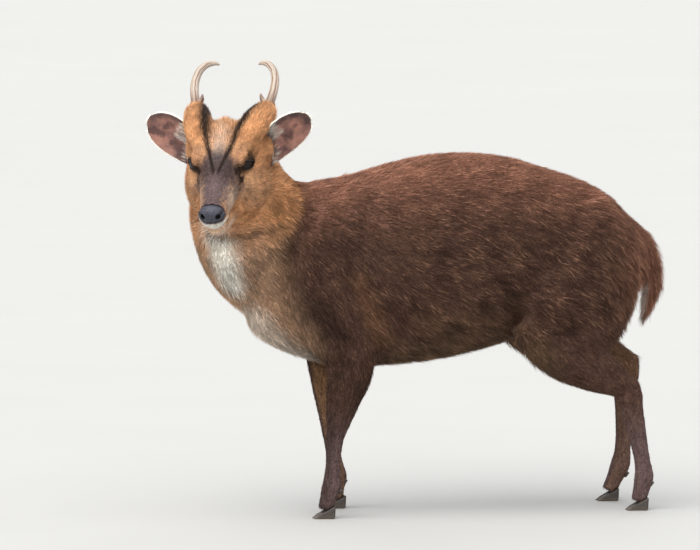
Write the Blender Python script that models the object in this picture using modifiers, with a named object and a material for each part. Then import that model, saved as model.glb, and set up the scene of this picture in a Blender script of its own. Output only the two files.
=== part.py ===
"""A muntjac buck, life size: a still model that stands side on and turns its head to its left.

Metres. Its head end is at -X, its left side at -Y, and the floor is at z = 0. The surfaces are the coat's tips.
Head sizes are given in the head's own frame: forward along the palate, to the animal's left, and up.
"""

import math

import bmesh
import bpy
import numpy as np
from mathutils import Matrix, Vector
from mathutils.bvhtree import BVHTree

GAP = 0.0003  # room between touching pieces
LEFT = -1  # sign of y on the animal's left
RIGHT = 1

# The trunk, section by section from breast to rump: x, top, bottom, half width.
TRUNK = (
    (-0.229, 0.360, 0.290, 0.024),
    (-0.212, 0.405, 0.255, 0.050),
    (-0.176, 0.450, 0.231, 0.068),
    (-0.130, 0.470, 0.214, 0.080),
    (-0.080, 0.478, 0.206, 0.087),
    (-0.030, 0.491, 0.205, 0.094),
    (0.030, 0.504, 0.210, 0.101),
    (0.090, 0.507, 0.220, 0.104),
    (0.150, 0.500, 0.236, 0.102),
    (0.200, 0.485, 0.262, 0.096),
    (0.250, 0.468, 0.284, 0.088),
    (0.290, 0.448, 0.298, 0.076),
    (0.320, 0.420, 0.305, 0.060),
    (0.340, 0.392, 0.312, 0.042),
    (0.352, 0.362, 0.328, 0.016),
)
TRUNK_WIDEST = 0.44  # height of the widest level, as a share of the section's height
TRUNK_SQUARE = 2.25  # 2 makes an ellipse, and more is boxier

# Flesh along a path: x, distance from the midplane, z, half depth fore and aft, half width.
SHOULDER = (
    (-0.050, 0.034, 0.455, 0.034, 0.024),
    (-0.090, 0.050, 0.405, 0.050, 0.032),
    (-0.128, 0.060, 0.345, 0.056, 0.034),
    (-0.112, 0.064, 0.285, 0.054, 0.033),
    (-0.092, 0.062, 0.235, 0.042, 0.029),
)
FORELEG = (
    (-0.092, 0.062, 0.270, 0.046, 0.030),
    (-0.087, 0.061, 0.210, 0.037, 0.026),
    (-0.096, 0.060, 0.168, 0.0275, 0.020),
    (-0.104, 0.060, 0.132, 0.0185, 0.0165),
    (-0.108, 0.060, 0.113, 0.0142, 0.0135),
    (-0.111, 0.060, 0.080, 0.0118, 0.0112),
    (-0.112, 0.060, 0.058, 0.0130, 0.0125),
    (-0.113, 0.060, 0.044, 0.0150, 0.0150),
    (-0.118, 0.060, 0.028, 0.0125, 0.0140),
    (-0.122, 0.060, 0.012, 0.0120, 0.0125),
)
THIGH = (
    (0.235, 0.042, 0.430, 0.052, 0.032),
    (0.248, 0.056, 0.378, 0.076, 0.040),
    (0.242, 0.066, 0.325, 0.086, 0.043),
    (0.226, 0.072, 0.282, 0.086, 0.041),
    (0.214, 0.074, 0.254, 0.068, 0.034),
)
SHANK = (
    (0.158, 0.075, 0.272, 0.026, 0.026),
    (0.186, 0.075, 0.250, 0.042, 0.034),
    (0.226, 0.072, 0.224, 0.044, 0.032),
    (0.266, 0.068, 0.200, 0.035, 0.025),
    (0.296, 0.064, 0.183, 0.025, 0.018),
    (0.312, 0.062, 0.172, 0.018, 0.014),
)
HIND_CANNON = (
    (0.318, 0.062, 0.188, 0.013, 0.0110),
    (0.315, 0.061, 0.168, 0.0210, 0.0150),
    (0.319, 0.061, 0.142, 0.0185, 0.0138),
    (0.326, 0.060, 0.112, 0.0155, 0.0125),
    (0.333, 0.060, 0.078, 0.0130, 0.0116),
    (0.336, 0.060, 0.060, 0.0132, 0.0125),
    (0.337, 0.060, 0.046, 0.0150, 0.0150),
    (0.333, 0.060, 0.028, 0.0125, 0.0140),
    (0.329, 0.060, 0.012, 0.0120, 0.0125),
)
NECK = (
    (-0.100, 0.000, 0.345, 0.084, 0.070),
    (-0.146, 0.000, 0.361, 0.109, 0.074),
    (-0.192, -0.003, 0.390, 0.104, 0.072),
    (-0.222, -0.012, 0.429, 0.088, 0.066),
    (-0.235, -0.022, 0.471, 0.069, 0.058),
    (-0.238, -0.032, 0.508, 0.050, 0.048),
)
TAIL = (
    (0.312, 0.000, 0.412, 0.012, 0.018),
    (0.340, 0.000, 0.386, 0.012, 0.021),
    (0.357, 0.000, 0.354, 0.012, 0.023),
    (0.363, 0.000, 0.320, 0.011, 0.022),
    (0.358, 0.000, 0.288, 0.008, 0.016),
    (0.350, 0.000, 0.264, 0.003, 0.006),
)

# How the right legs stand apart from the left ones: x shift per metre of depth below a level.
RIGHT_FORE_SWING = (0.206, 0.22)
RIGHT_HOCK_SHIFT = (0.033, 0.022)  # x and z
RIGHT_HIND_SWING = (0.190, -0.26)

# The head's frame: the point between the eyes, which way the face points, and how far the palate dips.
HEAD_MIDDLE = Vector((-0.277, -0.090, 0.508))
HEAD_AZIMUTH = math.radians(-24)  # 0 faces the left side squarely
HEAD_DIP = math.radians(32)
HEAD_ROLL = math.radians(2)  # its left side is the higher

# The skull's flesh from nose to poll: forward, top, bottom, half width.
SKULL = (
    (0.109, -0.014, -0.034, 0.009),
    (0.102, -0.008, -0.041, 0.017),
    (0.090, -0.003, -0.045, 0.020),
    (0.070, 0.003, -0.048, 0.022),
    (0.045, 0.011, -0.053, 0.027),
    (0.022, 0.020, -0.060, 0.034),
    (0.000, 0.029, -0.068, 0.042),
    (-0.022, 0.035, -0.074, 0.052),
    (-0.045, 0.035, -0.078, 0.059),
    (-0.062, 0.025, -0.078, 0.059),
    (-0.076, 0.006, -0.068, 0.050),
    (-0.086, -0.020, -0.052, 0.028),
)
JAW = (
    (0.094, -0.042, -0.054, 0.008),
    (0.086, -0.040, -0.062, 0.015),
    (0.068, -0.040, -0.069, 0.019),
    (0.040, -0.042, -0.080, 0.025),
    (0.010, -0.045, -0.092, 0.034),
    (-0.020, -0.048, -0.097, 0.042),
    (-0.046, -0.050, -0.096, 0.044),
    (-0.066, -0.052, -0.086, 0.034),
)
SKULL_SQUARE = 2.1
SKULL_WIDEST = 0.50  # height of the widest level, as a share of the section's height
# Rounded masses on each side of the head: forward, aside, up, and the three half sizes.
CHEEK = (-0.018, 0.033, -0.046, 0.054, 0.028, 0.043)
BROW = (0.004, 0.0325, 0.0130, 0.022, 0.0085, 0.0100)
FORELOCK = (-0.037, 0.000, 0.027, 0.027, 0.016, 0.010)

# Each pedicle's middle line and radius: forward, aside, up, radius.
PEDICLE = (
    (0.000, 0.022, 0.014, 0.010),
    (-0.022, 0.030, 0.020, 0.0185),
    (-0.050, 0.038, 0.021, 0.0210),
    (-0.074, 0.044, 0.018, 0.0200),
    (-0.091, 0.049, 0.015, 0.0170),
    (-0.101, 0.051, 0.014, 0.0125),
    (-0.105, 0.052, 0.014, 0.0070),
)
# Each antler's beam, from the burr to the hooked tip.
ANTLER = (
    (-0.094, 0.0495, 0.0135, 0.0070),
    (-0.109, 0.0530, 0.0195, 0.0066),
    (-0.126, 0.0566, 0.0262, 0.0062),
    (-0.142, 0.0572, 0.0330, 0.0058),
    (-0.157, 0.0530, 0.0390, 0.0053),
    (-0.168, 0.0440, 0.0420, 0.0046),
    (-0.174, 0.0345, 0.0400, 0.0034),
    (-0.176, 0.0280, 0.0355, 0.0010),
)
BROW_TINE = (
    (-0.103, 0.0470, 0.0200, 0.0040),
    (-0.108, 0.0430, 0.0270, 0.0034),
    (-0.110, 0.0415, 0.0345, 0.0010),
)
# The rough ring at the root of each antler: its middle, and its half sizes along the antler and across it.
BURR_PLACE = (-0.1065, 0.0524, 0.0185)
BURR_SIZE = (0.0034, 0.0088, 0.0088)
BURR_TURN = math.radians(25)

EYE_PLACE = Vector((0.005, 0.0330, 0.0010))
EYE_RADIUS = 0.0115
EYE_FACING = Vector((0.60, 0.79, 0.10))
LID_HALF_LENGTH = 0.0124  # of the ring that the two lids make
LID_HALF_HEIGHT = 0.0072
LID_THICKNESS = 0.0024
LID_TILT = math.radians(-4)  # how much the inner corner dips
LID_DEPTH = 0.0082  # from the eye's middle to the ring's plane
# The slit of the scent gland in front of each eye: its middle, its half sizes, and how it dips.
GLAND_PLACE = (0.030, 0.0290, -0.0125)
GLAND_SIZE = (0.0085, 0.0060, 0.0020)
GLAND_TILT = math.radians(38)

EAR_ROOT = Vector((-0.055, 0.040, -0.022))
EAR_TIP = Vector((-0.071, 0.115, 0.021))
# The way the mouth of each ear's cup looks: the right ear is turned a little further up than the left.
EAR_FACING = {LEFT: Vector((0.93, 0.30, 0.10)), RIGHT: Vector((0.84, 0.16, 0.46))}
EAR_HALF_WIDTH = 0.0240
EAR_LOWER_SHARE = 1.22  # how much fuller the ear's lower side is than its upper one
EAR_CUP = 0.013
EAR_THICKNESS = 0.0030

# The mouth, seen from the side: along the lips from the nose to the corner, then down behind the chin.
MOUTH = (
    (0.120, -0.0420),
    (0.100, -0.0440),
    (0.080, -0.0430),
    (0.062, -0.0400),
    (0.050, -0.0385),
    (0.044, -0.0420),
    (0.038, -0.0560),
    (0.033, -0.0760),
    (0.031, -0.0900),
)
MOUTH_LINE = 0.0005

NOSE_PLACE = (0.0965, 0.0, -0.0185)
NOSE_SIZE = (0.0135, 0.0195, 0.0140)
NOSE_TILT = math.radians(24)
NOSTRIL_PLACE = (0.1065, 0.0105, -0.0150)
NOSTRIL_SIZE = (0.0060, 0.0036, 0.0028)
NOSTRIL_TURN = math.radians(35)

# A claw of a hoof.
CLAW_LENGTH = 0.031
CLAW_WIDTH = 0.0115
CLAW_HEIGHT = 0.019
CLAW_TOE_HEIGHT = 0.006
CLAW_SPREAD = 0.0068  # from the foot's middle to the claw's middle

# Heights at which the legs are parted.
ELBOW_LEVEL = 0.198
KNEE_LEVEL = 0.126
FETLOCK_LEVEL = 0.050
LIMB_CUT_REACH = 1.9  # half size of a cut, as a share of the limb's own
HOCK_CUT_NORMAL = (-0.45, 0, 0.89)
HOCK_CUT_SIZE = (0.032, 0.052)
# The other cuts: middle, normal and half sizes, the first two in the head's frame.
HEAD_CUT = ((-0.045, 0.000, -0.073), (0.385, 0, 0.923), (0.092, 0.092))
PEDICLE_CUT = ((-0.081, 0.048, 0.025), (0.99, -0.14, 0), (0.034, 0.036))
NECK_CUT = ((-0.190, 0.000, 0.388), (-0.79, 0, 0.61), (0.13, 0.17))
CHEST_CUT = ((-0.015, 0.000, 0.350), (1, 0, 0.05), (0.15, 0.20))
RUMP_CUT = ((0.128, 0.000, 0.360), (1, 0, -0.12), (0.15, 0.20))
GROIN_CUT = ((0.245, 0.072, 0.268), (-0.272, 0, 0.962), (0.060, 0.15))
PASTERN_MIDDLE = 0.012  # below the fetlock's cut
SHANK_MIDDLE = 0.225
SMALLEST_PART = 20  # faces: what a cut leaves smaller than this is dropped
NEARLY_UP = Vector((0.0131, 0.0071, 1)).normalized()  # it runs along no face
PAST_WALL = 0.000001

SIDES = 24
FLESH_VOXEL = 0.0028
FLESH_SMOOTHING = 6
FLESH_TRIANGLES = 6200

COLOURS = {
    "coat_brown": ((0.125, 0.050, 0.022), 0.90),
    "coat_ginger": ((0.420, 0.170, 0.050), 0.90),
    "ear": ((0.250, 0.140, 0.110), 0.85),
    "antler": ((0.620, 0.470, 0.360), 0.50),
    "nose": ((0.015, 0.015, 0.018), 0.35),
    "eye": ((0.006, 0.004, 0.003), 0.08),
    "hoof": ((0.020, 0.017, 0.015), 0.45),
}


def smooth_rows(rows, steps):
    """Rows read off a Catmull-Rom curve through the given rows, with so many steps between each two."""
    rows = np.array(rows, float)
    ends = np.vstack([2 * rows[0] - rows[1], rows, 2 * rows[-1] - rows[-2]])
    found = []
    for a, b, c, d in zip(ends, ends[1:], ends[2:], ends[3:]):
        for t in np.linspace(0, 1, steps, endpoint=False):
            bend = (2 * a - 5 * b + 4 * c - d) * t**2 + (3 * b - a - 3 * c + d) * t**3
            found.append(0.5 * (2 * b + (c - a) * t + bend))
    return np.array([*found, rows[-1]])


def as_object(name, bm):
    mesh = bpy.data.meshes.new(name)
    bm.to_mesh(mesh)
    bm.free()
    made = bpy.data.objects.new(name, mesh)
    bpy.context.scene.collection.objects.link(made)
    return made


def loft(name, rings):
    """A closed surface through rings of equally many points."""
    bm = bmesh.new()
    loops = [[bm.verts.new(point) for point in ring] for ring in rings]
    for near, far in zip(loops, loops[1:]):
        for i in range(len(near)):
            j = (i + 1) % len(near)
            bm.faces.new((near[i], near[j], far[j], far[i]))
    bm.faces.new(loops[0])
    bm.faces.new(loops[-1])
    bmesh.ops.recalc_face_normals(bm, faces=bm.faces)
    return as_object(name, bm)


def power(value, exponent):
    return math.copysign(abs(value) ** exponent, value)


def upright_sections(name, stations, square, widest_share, steps, place=None):
    """A loft whose sections stand across x: each row is x, top, bottom, half width."""
    rings = []
    for x, top, bottom, half_width in smooth_rows(stations, steps):
        widest = bottom + widest_share * (top - bottom)
        ring = []
        for i in range(SIDES):
            turn = 2 * math.pi * i / SIDES
            rise = power(math.sin(turn), 2 / square)
            height = top - widest if rise > 0 else widest - bottom
            point = Vector((x, half_width * power(math.cos(turn), 2 / square), widest + height * rise))
            ring.append(place @ point if place else point)
        rings.append(ring)
    return loft(name, rings)


def tube(name, stations, side=RIGHT, steps=4):
    """Flesh along a path, with its depth across the path in the upright plane and its width to the side."""
    rows = smooth_rows(stations, steps)
    middles = rows[:, :3] * (1, side, 1)
    along = np.gradient(middles, axis=0)
    rings = []
    for middle, way, (depth, width) in zip(middles, along, rows[:, 3:]):
        way = Vector(way).normalized()
        across = Vector((0, 1, 0))
        across = (across - across.dot(way) * way).normalized()
        deep = across.cross(way)
        ring = []
        for i in range(SIDES):
            turn = 2 * math.pi * i / SIDES
            ring.append(Vector(middle) + across * (width * math.cos(turn)) + deep * (depth * math.sin(turn)))
        rings.append(ring)
    return loft(name, rings)


def round_tube(name, stations, place, side, sides, steps=4):
    """A tapered curve with filled caps, made a mesh: each row is a point and its radius."""
    rows = smooth_rows(stations, steps)
    curve = bpy.data.curves.new(name, "CURVE")
    curve.dimensions = "3D"
    curve.bevel_depth = 1.0
    curve.bevel_resolution = sides // 2 - 2
    curve.use_fill_caps = True
    spline = curve.splines.new("POLY")
    spline.points.add(len(rows) - 1)
    for point, (forward, aside, up, radius) in zip(spline.points, rows):
        point.co = (*(place @ Vector((forward, aside * side, up))), 1)
        point.radius = max(radius, GAP)
    made = bpy.data.objects.new(name, curve)
    bpy.context.scene.collection.objects.link(made)
    return meshed(made, weld=True)


def meshed(made, weld=False):
    """The object as its modifiers or its curve make it, now a plain mesh."""
    name = made.name
    bpy.context.view_layer.update()
    graph = bpy.context.evaluated_depsgraph_get()
    mesh = bpy.data.meshes.new_from_object(made.evaluated_get(graph))
    bm = bmesh.new()
    bm.from_mesh(mesh)
    bm.transform(made.matrix_world)
    if weld:
        bmesh.ops.remove_doubles(bm, verts=bm.verts, dist=0.00005)
    bmesh.ops.recalc_face_normals(bm, faces=bm.faces)
    bpy.data.objects.remove(made)
    return as_object(name, bm)


def egg(name, place, middle, sizes, turn=None, rings=12):
    """An ellipsoid in the frame that place gives."""
    bm = bmesh.new()
    bmesh.ops.create_uvsphere(bm, u_segments=2 * rings, v_segments=rings, radius=1.0)
    shape = Matrix.Diagonal((*sizes, 1))
    if turn:
        shape = turn @ shape
    bm.transform(place @ Matrix.Translation(middle) @ shape)
    bmesh.ops.recalc_face_normals(bm, faces=bm.faces)
    return as_object(name, bm)


def boolean(base, others, operation, solver="EXACT"):
    """The base joined with, or cut by, every other object; the others are used up."""
    bench = bpy.data.collections.new("bench")
    bpy.context.scene.collection.children.link(bench)
    for other in others:
        bench.objects.link(other)
    cut = base.modifiers.new("cut", "BOOLEAN")
    cut.operand_type = "COLLECTION"
    cut.collection = bench
    cut.operation = operation
    cut.solver = solver
    done = meshed(base)
    for other in others:
        bpy.data.objects.remove(other)
    bpy.data.collections.remove(bench)
    return done


def copied(made, name):
    twin = bpy.data.objects.new(name, made.data.copy())
    bpy.context.scene.collection.objects.link(twin)
    return twin


def grown(made, amount=GAP):
    """A copy of a body, pushed outwards."""
    twin = copied(made, made.name + "_grown")
    bm = bmesh.new()
    bm.from_mesh(twin.data)
    bm.normal_update()
    moves = {vert: vert.normal * amount for vert in bm.verts}
    for vert, move in moves.items():
        vert.co += move
    bm.to_mesh(twin.data)
    bm.free()
    return twin


def islands(bm):
    """The loose parts of a mesh, as lists of faces."""
    left = set(bm.faces)
    found = []
    while left:
        start = left.pop()
        part = [start]
        queue = [start]
        while queue:
            face = queue.pop()
            for edge in face.edges:
                for other in edge.link_faces:
                    if other in left:
                        left.remove(other)
                        part.append(other)
                        queue.append(other)
        found.append(part)
    return found


def keep_largest(made):
    """Only the largest closed surface of a body."""
    bm = bmesh.new()
    bm.from_mesh(made.data)
    parts = sorted(islands(bm), key=len)
    spare = [face for part in parts[:-1] for face in part]
    bmesh.ops.delete(bm, geom=spare, context="FACES")
    bm.to_mesh(made.data)
    bm.free()
    return made


def one_body(name, pieces, voxel, smoothing, triangles):
    """Overlapping pieces fused into one smooth skin of about so many triangles."""
    bm = bmesh.new()
    for piece in pieces:
        bm.from_mesh(piece.data)
        bpy.data.objects.remove(piece)
    made = as_object(name, bm)
    remesh = made.modifiers.new("fuse", "REMESH")
    remesh.mode = "VOXEL"
    remesh.voxel_size = voxel
    soften = made.modifiers.new("soften", "SMOOTH")
    soften.factor = 0.5
    soften.iterations = smoothing
    made = meshed(made)
    thin = made.modifiers.new("thin", "DECIMATE")
    thin.ratio = triangles / (2 * len(made.data.polygons))
    return keep_largest(meshed(made))


def head_place():
    """The head's frame as a matrix: its columns point forward, to the animal's left, and up."""
    level = Vector((math.sin(HEAD_AZIMUTH), -math.cos(HEAD_AZIMUTH), 0))
    forward = level * math.cos(HEAD_DIP) + Vector((0, 0, -math.sin(HEAD_DIP)))
    left = Vector((0, 0, 1)).cross(level)
    up = forward.cross(left)
    frame = Matrix((forward, left, up)).transposed().to_4x4()
    return Matrix.Translation(HEAD_MIDDLE) @ frame @ Matrix.Rotation(HEAD_ROLL, 4, "X")


def swung(stations, level, rate, shift=(0.0, 0.0)):
    """Stations shifted as a whole, and swung in x by a rate for each metre below a level."""
    return [
        (x + shift[0] + rate * max(level - z, 0), y, z + shift[1] * min(1, z / level), depth, width)
        for x, y, z, depth, width in stations
    ]


def stretched(stations, top, foot, shift):
    """Stations shifted by nothing at height top, and by the whole shift, x and z, at height foot."""
    moved = []
    for x, y, z, depth, width in stations:
        share = (top - z) / (top - foot)
        moved.append((x + shift[0] * share, y, z + shift[1] * share, depth, width))
    return moved


def limbs():
    """Each limb's stations: the right feet stand apart from the left ones."""
    hock_top = SHANK[0][2]
    return {
        "fore_left": (FORELEG, LEFT),
        "fore_right": (swung(FORELEG, *RIGHT_FORE_SWING), RIGHT),
        "shank_left": (SHANK, LEFT),
        "shank_right": (stretched(SHANK, hock_top, SHANK[-1][2], RIGHT_HOCK_SHIFT), RIGHT),
        "hind_left": (HIND_CANNON, LEFT),
        "hind_right": (swung(HIND_CANNON, *RIGHT_HIND_SWING, shift=RIGHT_HOCK_SHIFT), RIGHT),
    }


def on_limb(limb, level):
    """The middle of a limb at a height, and its direction and depth there."""
    stations, side = limb
    rows = smooth_rows(stations, 8)
    i = int(np.argmin(np.abs(rows[:, 2] - level)))
    near, far = rows[max(i - 1, 0)], rows[min(i + 1, len(rows) - 1)]
    way = Vector((far[:3] - near[:3]) * (1, side, 1)).normalized()
    return Vector(rows[i][:3] * (1, side, 1)), way, rows[i][3], rows[i][4]


def limb_cut(limb, level):
    """The cut across a limb at a height."""
    middle, way, depth, width = on_limb(limb, level)
    return slab("limb_cut", middle, way, (width * LIMB_CUT_REACH, depth * LIMB_CUT_REACH), Vector((1, 0, 0)))


def slab(name, middle, normal, half_sizes, upright=Vector((0, 0, 1))):
    """A thin box that parts two pieces: its thin way is the normal."""
    normal = Vector(normal).normalized()
    across = upright.cross(normal).normalized()
    rise = normal.cross(across)
    bm = bmesh.new()
    bmesh.ops.create_cube(bm, size=2)
    frame = Matrix((across, rise, normal)).transposed().to_4x4()
    bm.transform(Matrix.Translation(middle) @ frame @ Matrix.Diagonal((*half_sizes, GAP / 2, 1)))
    return as_object(name, bm)


def contains(tree, point):
    """Whether a point lies inside a closed surface, by counting the walls above it."""
    hits = 0
    start = Vector(point)
    while True:
        where, _, _, _ = tree.ray_cast(start, NEARLY_UP)
        if where is None:
            return hits % 2 == 1
        hits += 1
        start = where + NEARLY_UP * PAST_WALL


def parted(made, names):
    """The loose parts of a body, named by a point inside each."""
    bm = bmesh.new()
    bm.from_mesh(made.data)
    bm.faces.ensure_lookup_table()
    groups = [{face.index for face in faces} for faces in islands(bm)]
    parts = []
    for group in groups:
        if len(group) < SMALLEST_PART:
            continue
        piece = bm.copy()
        spare = [face for face in piece.faces if face.index not in group]
        bmesh.ops.delete(piece, geom=spare, context="FACES")
        parts.append(piece)
    bm.free()
    bpy.data.objects.remove(made)
    found = {}
    for name, point in names.items():
        for piece in parts:
            if contains(BVHTree.FromBMesh(piece), point):
                if name in found:
                    raise ValueError(f"{name} lies in two parts")
                found[name] = piece
                break
        else:
            raise ValueError(f"no part holds {name}")
    if len(set(map(id, found.values()))) != len(names):
        same = [n for n in found if list(map(id, found.values())).count(id(found[n])) > 1]
        raise ValueError(f"these are still one part: {same}")
    return {name: as_object(name, piece) for name, piece in found.items()}


def ear(place, side):
    """A cupped leaf of even thickness on a rounded root."""
    name = "ear_" + ("left" if side > 0 else "right")
    root = EAR_ROOT
    length = (EAR_TIP - root).length
    way = (EAR_TIP - root).normalized()
    look = EAR_FACING[LEFT if side > 0 else RIGHT]
    facing = (look - look.dot(way) * way).normalized()
    across = way.cross(facing)
    bm = bmesh.new()
    columns, rows = 8, 10
    bmesh.ops.create_grid(bm, x_segments=columns, y_segments=rows, size=1)
    for vert in bm.verts:
        share = (vert.co.y + 1) / 2
        width = EAR_HALF_WIDTH * (0.66 + 0.34 * math.sin(math.pi / 2 * min(share / 0.50, 1)))
        if share > 0.50:
            width = EAR_HALF_WIDTH * (1 - ((share - 0.50) / 0.51) ** 2.3) ** 0.55
        if vert.co.x > 0:
            width *= EAR_LOWER_SHARE
        curl = math.radians(30) + math.radians(62) * (1 - share) ** 1.6
        turn = vert.co.x * curl
        sideways = width * math.sin(turn) / math.sin(curl)
        depth = EAR_CUP * (1.2 - 0.8 * share) * (1 - math.cos(turn)) / (1 - math.cos(math.radians(60)))
        point = root + way * (length * share) + across * sideways + facing * (depth - EAR_CUP * 0.5)
        vert.co = place @ Vector((point.x, point.y * side, point.z))
    bmesh.ops.recalc_face_normals(bm, faces=bm.faces)
    leaf = as_object(name, bm)
    wall = leaf.modifiers.new("wall", "SOLIDIFY")
    wall.thickness = EAR_THICKNESS
    wall.offset = 0
    leaf = meshed(leaf)
    base = root + way * 0.002 - facing * EAR_CUP * 0.45
    knob = egg(name + "_root", place, (base.x, base.y * side, base.z), (0.013, 0.014, 0.015), rings=8)
    return keep_largest(boolean(leaf, [knob], "UNION"))


def claw(name, x, y, side):
    """One claw of a hoof: a wedge with rounded edges on a flat sole, toe towards the head."""
    bm = bmesh.new()
    bmesh.ops.create_cube(bm, size=1)
    for vert in bm.verts:
        toe = vert.co.x < 0
        top = vert.co.z > 0
        vert.co.x = -CLAW_LENGTH * (0.62 if not top else 0.36) if toe else CLAW_LENGTH * (0.38 if not top else 0.42)
        vert.co.y *= CLAW_WIDTH * (0.55 if toe else 1.0) * (0.86 if top else 1.0)
        vert.co.y += side * (CLAW_SPREAD - (0.0012 if toe else 0))
        vert.co.z = (CLAW_TOE_HEIGHT if toe else CLAW_HEIGHT) if top else 0
    bmesh.ops.bevel(
        bm, geom=bm.edges, offset=0.0022, segments=2, profile=0.5, affect="EDGES", material=-1
    )
    lowest = min(vert.co.z for vert in bm.verts)
    bmesh.ops.translate(bm, verts=bm.verts, vec=(x, y, -lowest))
    return as_object(name, bm)


def paint(made, finish):
    colour, roughness = COLOURS[finish]
    material = bpy.data.materials.new(made.name)
    material.use_nodes = True
    shader = material.node_tree.nodes["Principled BSDF"]
    shader.inputs["Base Color"].default_value = (*colour, 1)
    shader.inputs["Roughness"].default_value = roughness
    made.data.materials.clear()
    made.data.materials.append(material)
    made.data.shade_smooth()
    made.data.set_sharp_from_angle(angle=math.radians(50))


def flesh_pieces(place, legs):
    """Every soft mass of the body, overlapping, before they are fused."""
    pieces = [upright_sections("trunk", TRUNK, TRUNK_SQUARE, TRUNK_WIDEST, 4), tube("neck_mass", NECK)]
    for side in (LEFT, RIGHT):
        pieces.append(tube("shoulder_mass", SHOULDER, side))
        pieces.append(tube("thigh_mass", THIGH, side))
    for name, (stations, side) in legs.items():
        pieces.append(tube(name + "_mass", stations, side))
    pieces.append(upright_sections("skull_mass", SKULL, SKULL_SQUARE, SKULL_WIDEST, 3, place))
    pieces.append(upright_sections("jaw_mass", JAW, SKULL_SQUARE, SKULL_WIDEST, 3, place))
    pieces.append(egg("forelock_mass", place, FORELOCK[:3], FORELOCK[3:]))
    for side in (1, -1):
        for forward, aside, up, *sizes in (CHEEK, BROW):
            pieces.append(egg("side_mass", place, (forward, aside * side, up), sizes))
        pieces.append(round_tube("pedicle_mass", PEDICLE, place, side, 16))
    return pieces


def facing_frame(place, middle, facing, side, tilt):
    """A frame on one side of the head: x along the opening, y out of it, z up."""
    out = Vector((facing.x, facing.y * side, facing.z)).normalized()
    along = Vector((1, 0, 0))
    along = (along - along.dot(out) * out).normalized()
    rise = along.cross(out) * (1 if along.cross(out).z > 0 else -1)
    turn = Matrix.Rotation(tilt, 3, rise.cross(along))
    along, rise = turn @ along, turn @ rise
    frame = Matrix((along, out, rise)).transposed().to_4x4()
    return place @ Matrix.Translation((middle.x, middle.y * side, middle.z)) @ frame


def lids(place, side):
    """The ring that the two eyelids make round an eye, and the opening between them."""
    frame = facing_frame(place, EYE_PLACE, EYE_FACING, side, LID_TILT)
    ring = []
    turns = 18
    for i in range(turns):
        turn = 2 * math.pi * i / turns
        ring.append(Vector((LID_HALF_LENGTH * math.cos(turn), LID_DEPTH, LID_HALF_HEIGHT * math.sin(turn))))
    curve = bpy.data.curves.new("lids", "CURVE")
    curve.dimensions = "3D"
    curve.bevel_depth = LID_THICKNESS
    curve.bevel_resolution = 1
    spline = curve.splines.new("POLY")
    spline.use_cyclic_u = True
    spline.points.add(turns - 1)
    for point, corner in zip(spline.points, ring):
        point.co = (*(frame @ corner), 1)
    made = bpy.data.objects.new("lids", curve)
    bpy.context.scene.collection.objects.link(made)
    made = meshed(made, weld=True)
    reach = 2 * LID_DEPTH
    opening_size = (LID_HALF_LENGTH - LID_THICKNESS * 0.6, reach * 0.7, LID_HALF_HEIGHT - LID_THICKNESS * 0.6)
    opening = egg("opening", frame, (0, reach * 0.8, 0), opening_size, rings=10)
    return made, opening


def mouth_cut(place):
    """A thin curved wall that parts the lips, and the chin from the head."""
    rows = smooth_rows([(x, 0, z) for x, z in MOUTH], 3)
    half = SKULL[4][3] * 1.6
    bm = bmesh.new()
    sides = []
    for aside in (-half, half):
        sides.append([bm.verts.new(place @ Vector((x, aside, z))) for x, _, z in rows])
    for i in range(len(rows) - 1):
        bm.faces.new((sides[0][i], sides[0][i + 1], sides[1][i + 1], sides[1][i]))
    made = as_object("mouth", bm)
    wall = made.modifiers.new("wall", "SOLIDIFY")
    wall.thickness = MOUTH_LINE
    wall.offset = 0
    return meshed(made)


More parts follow.
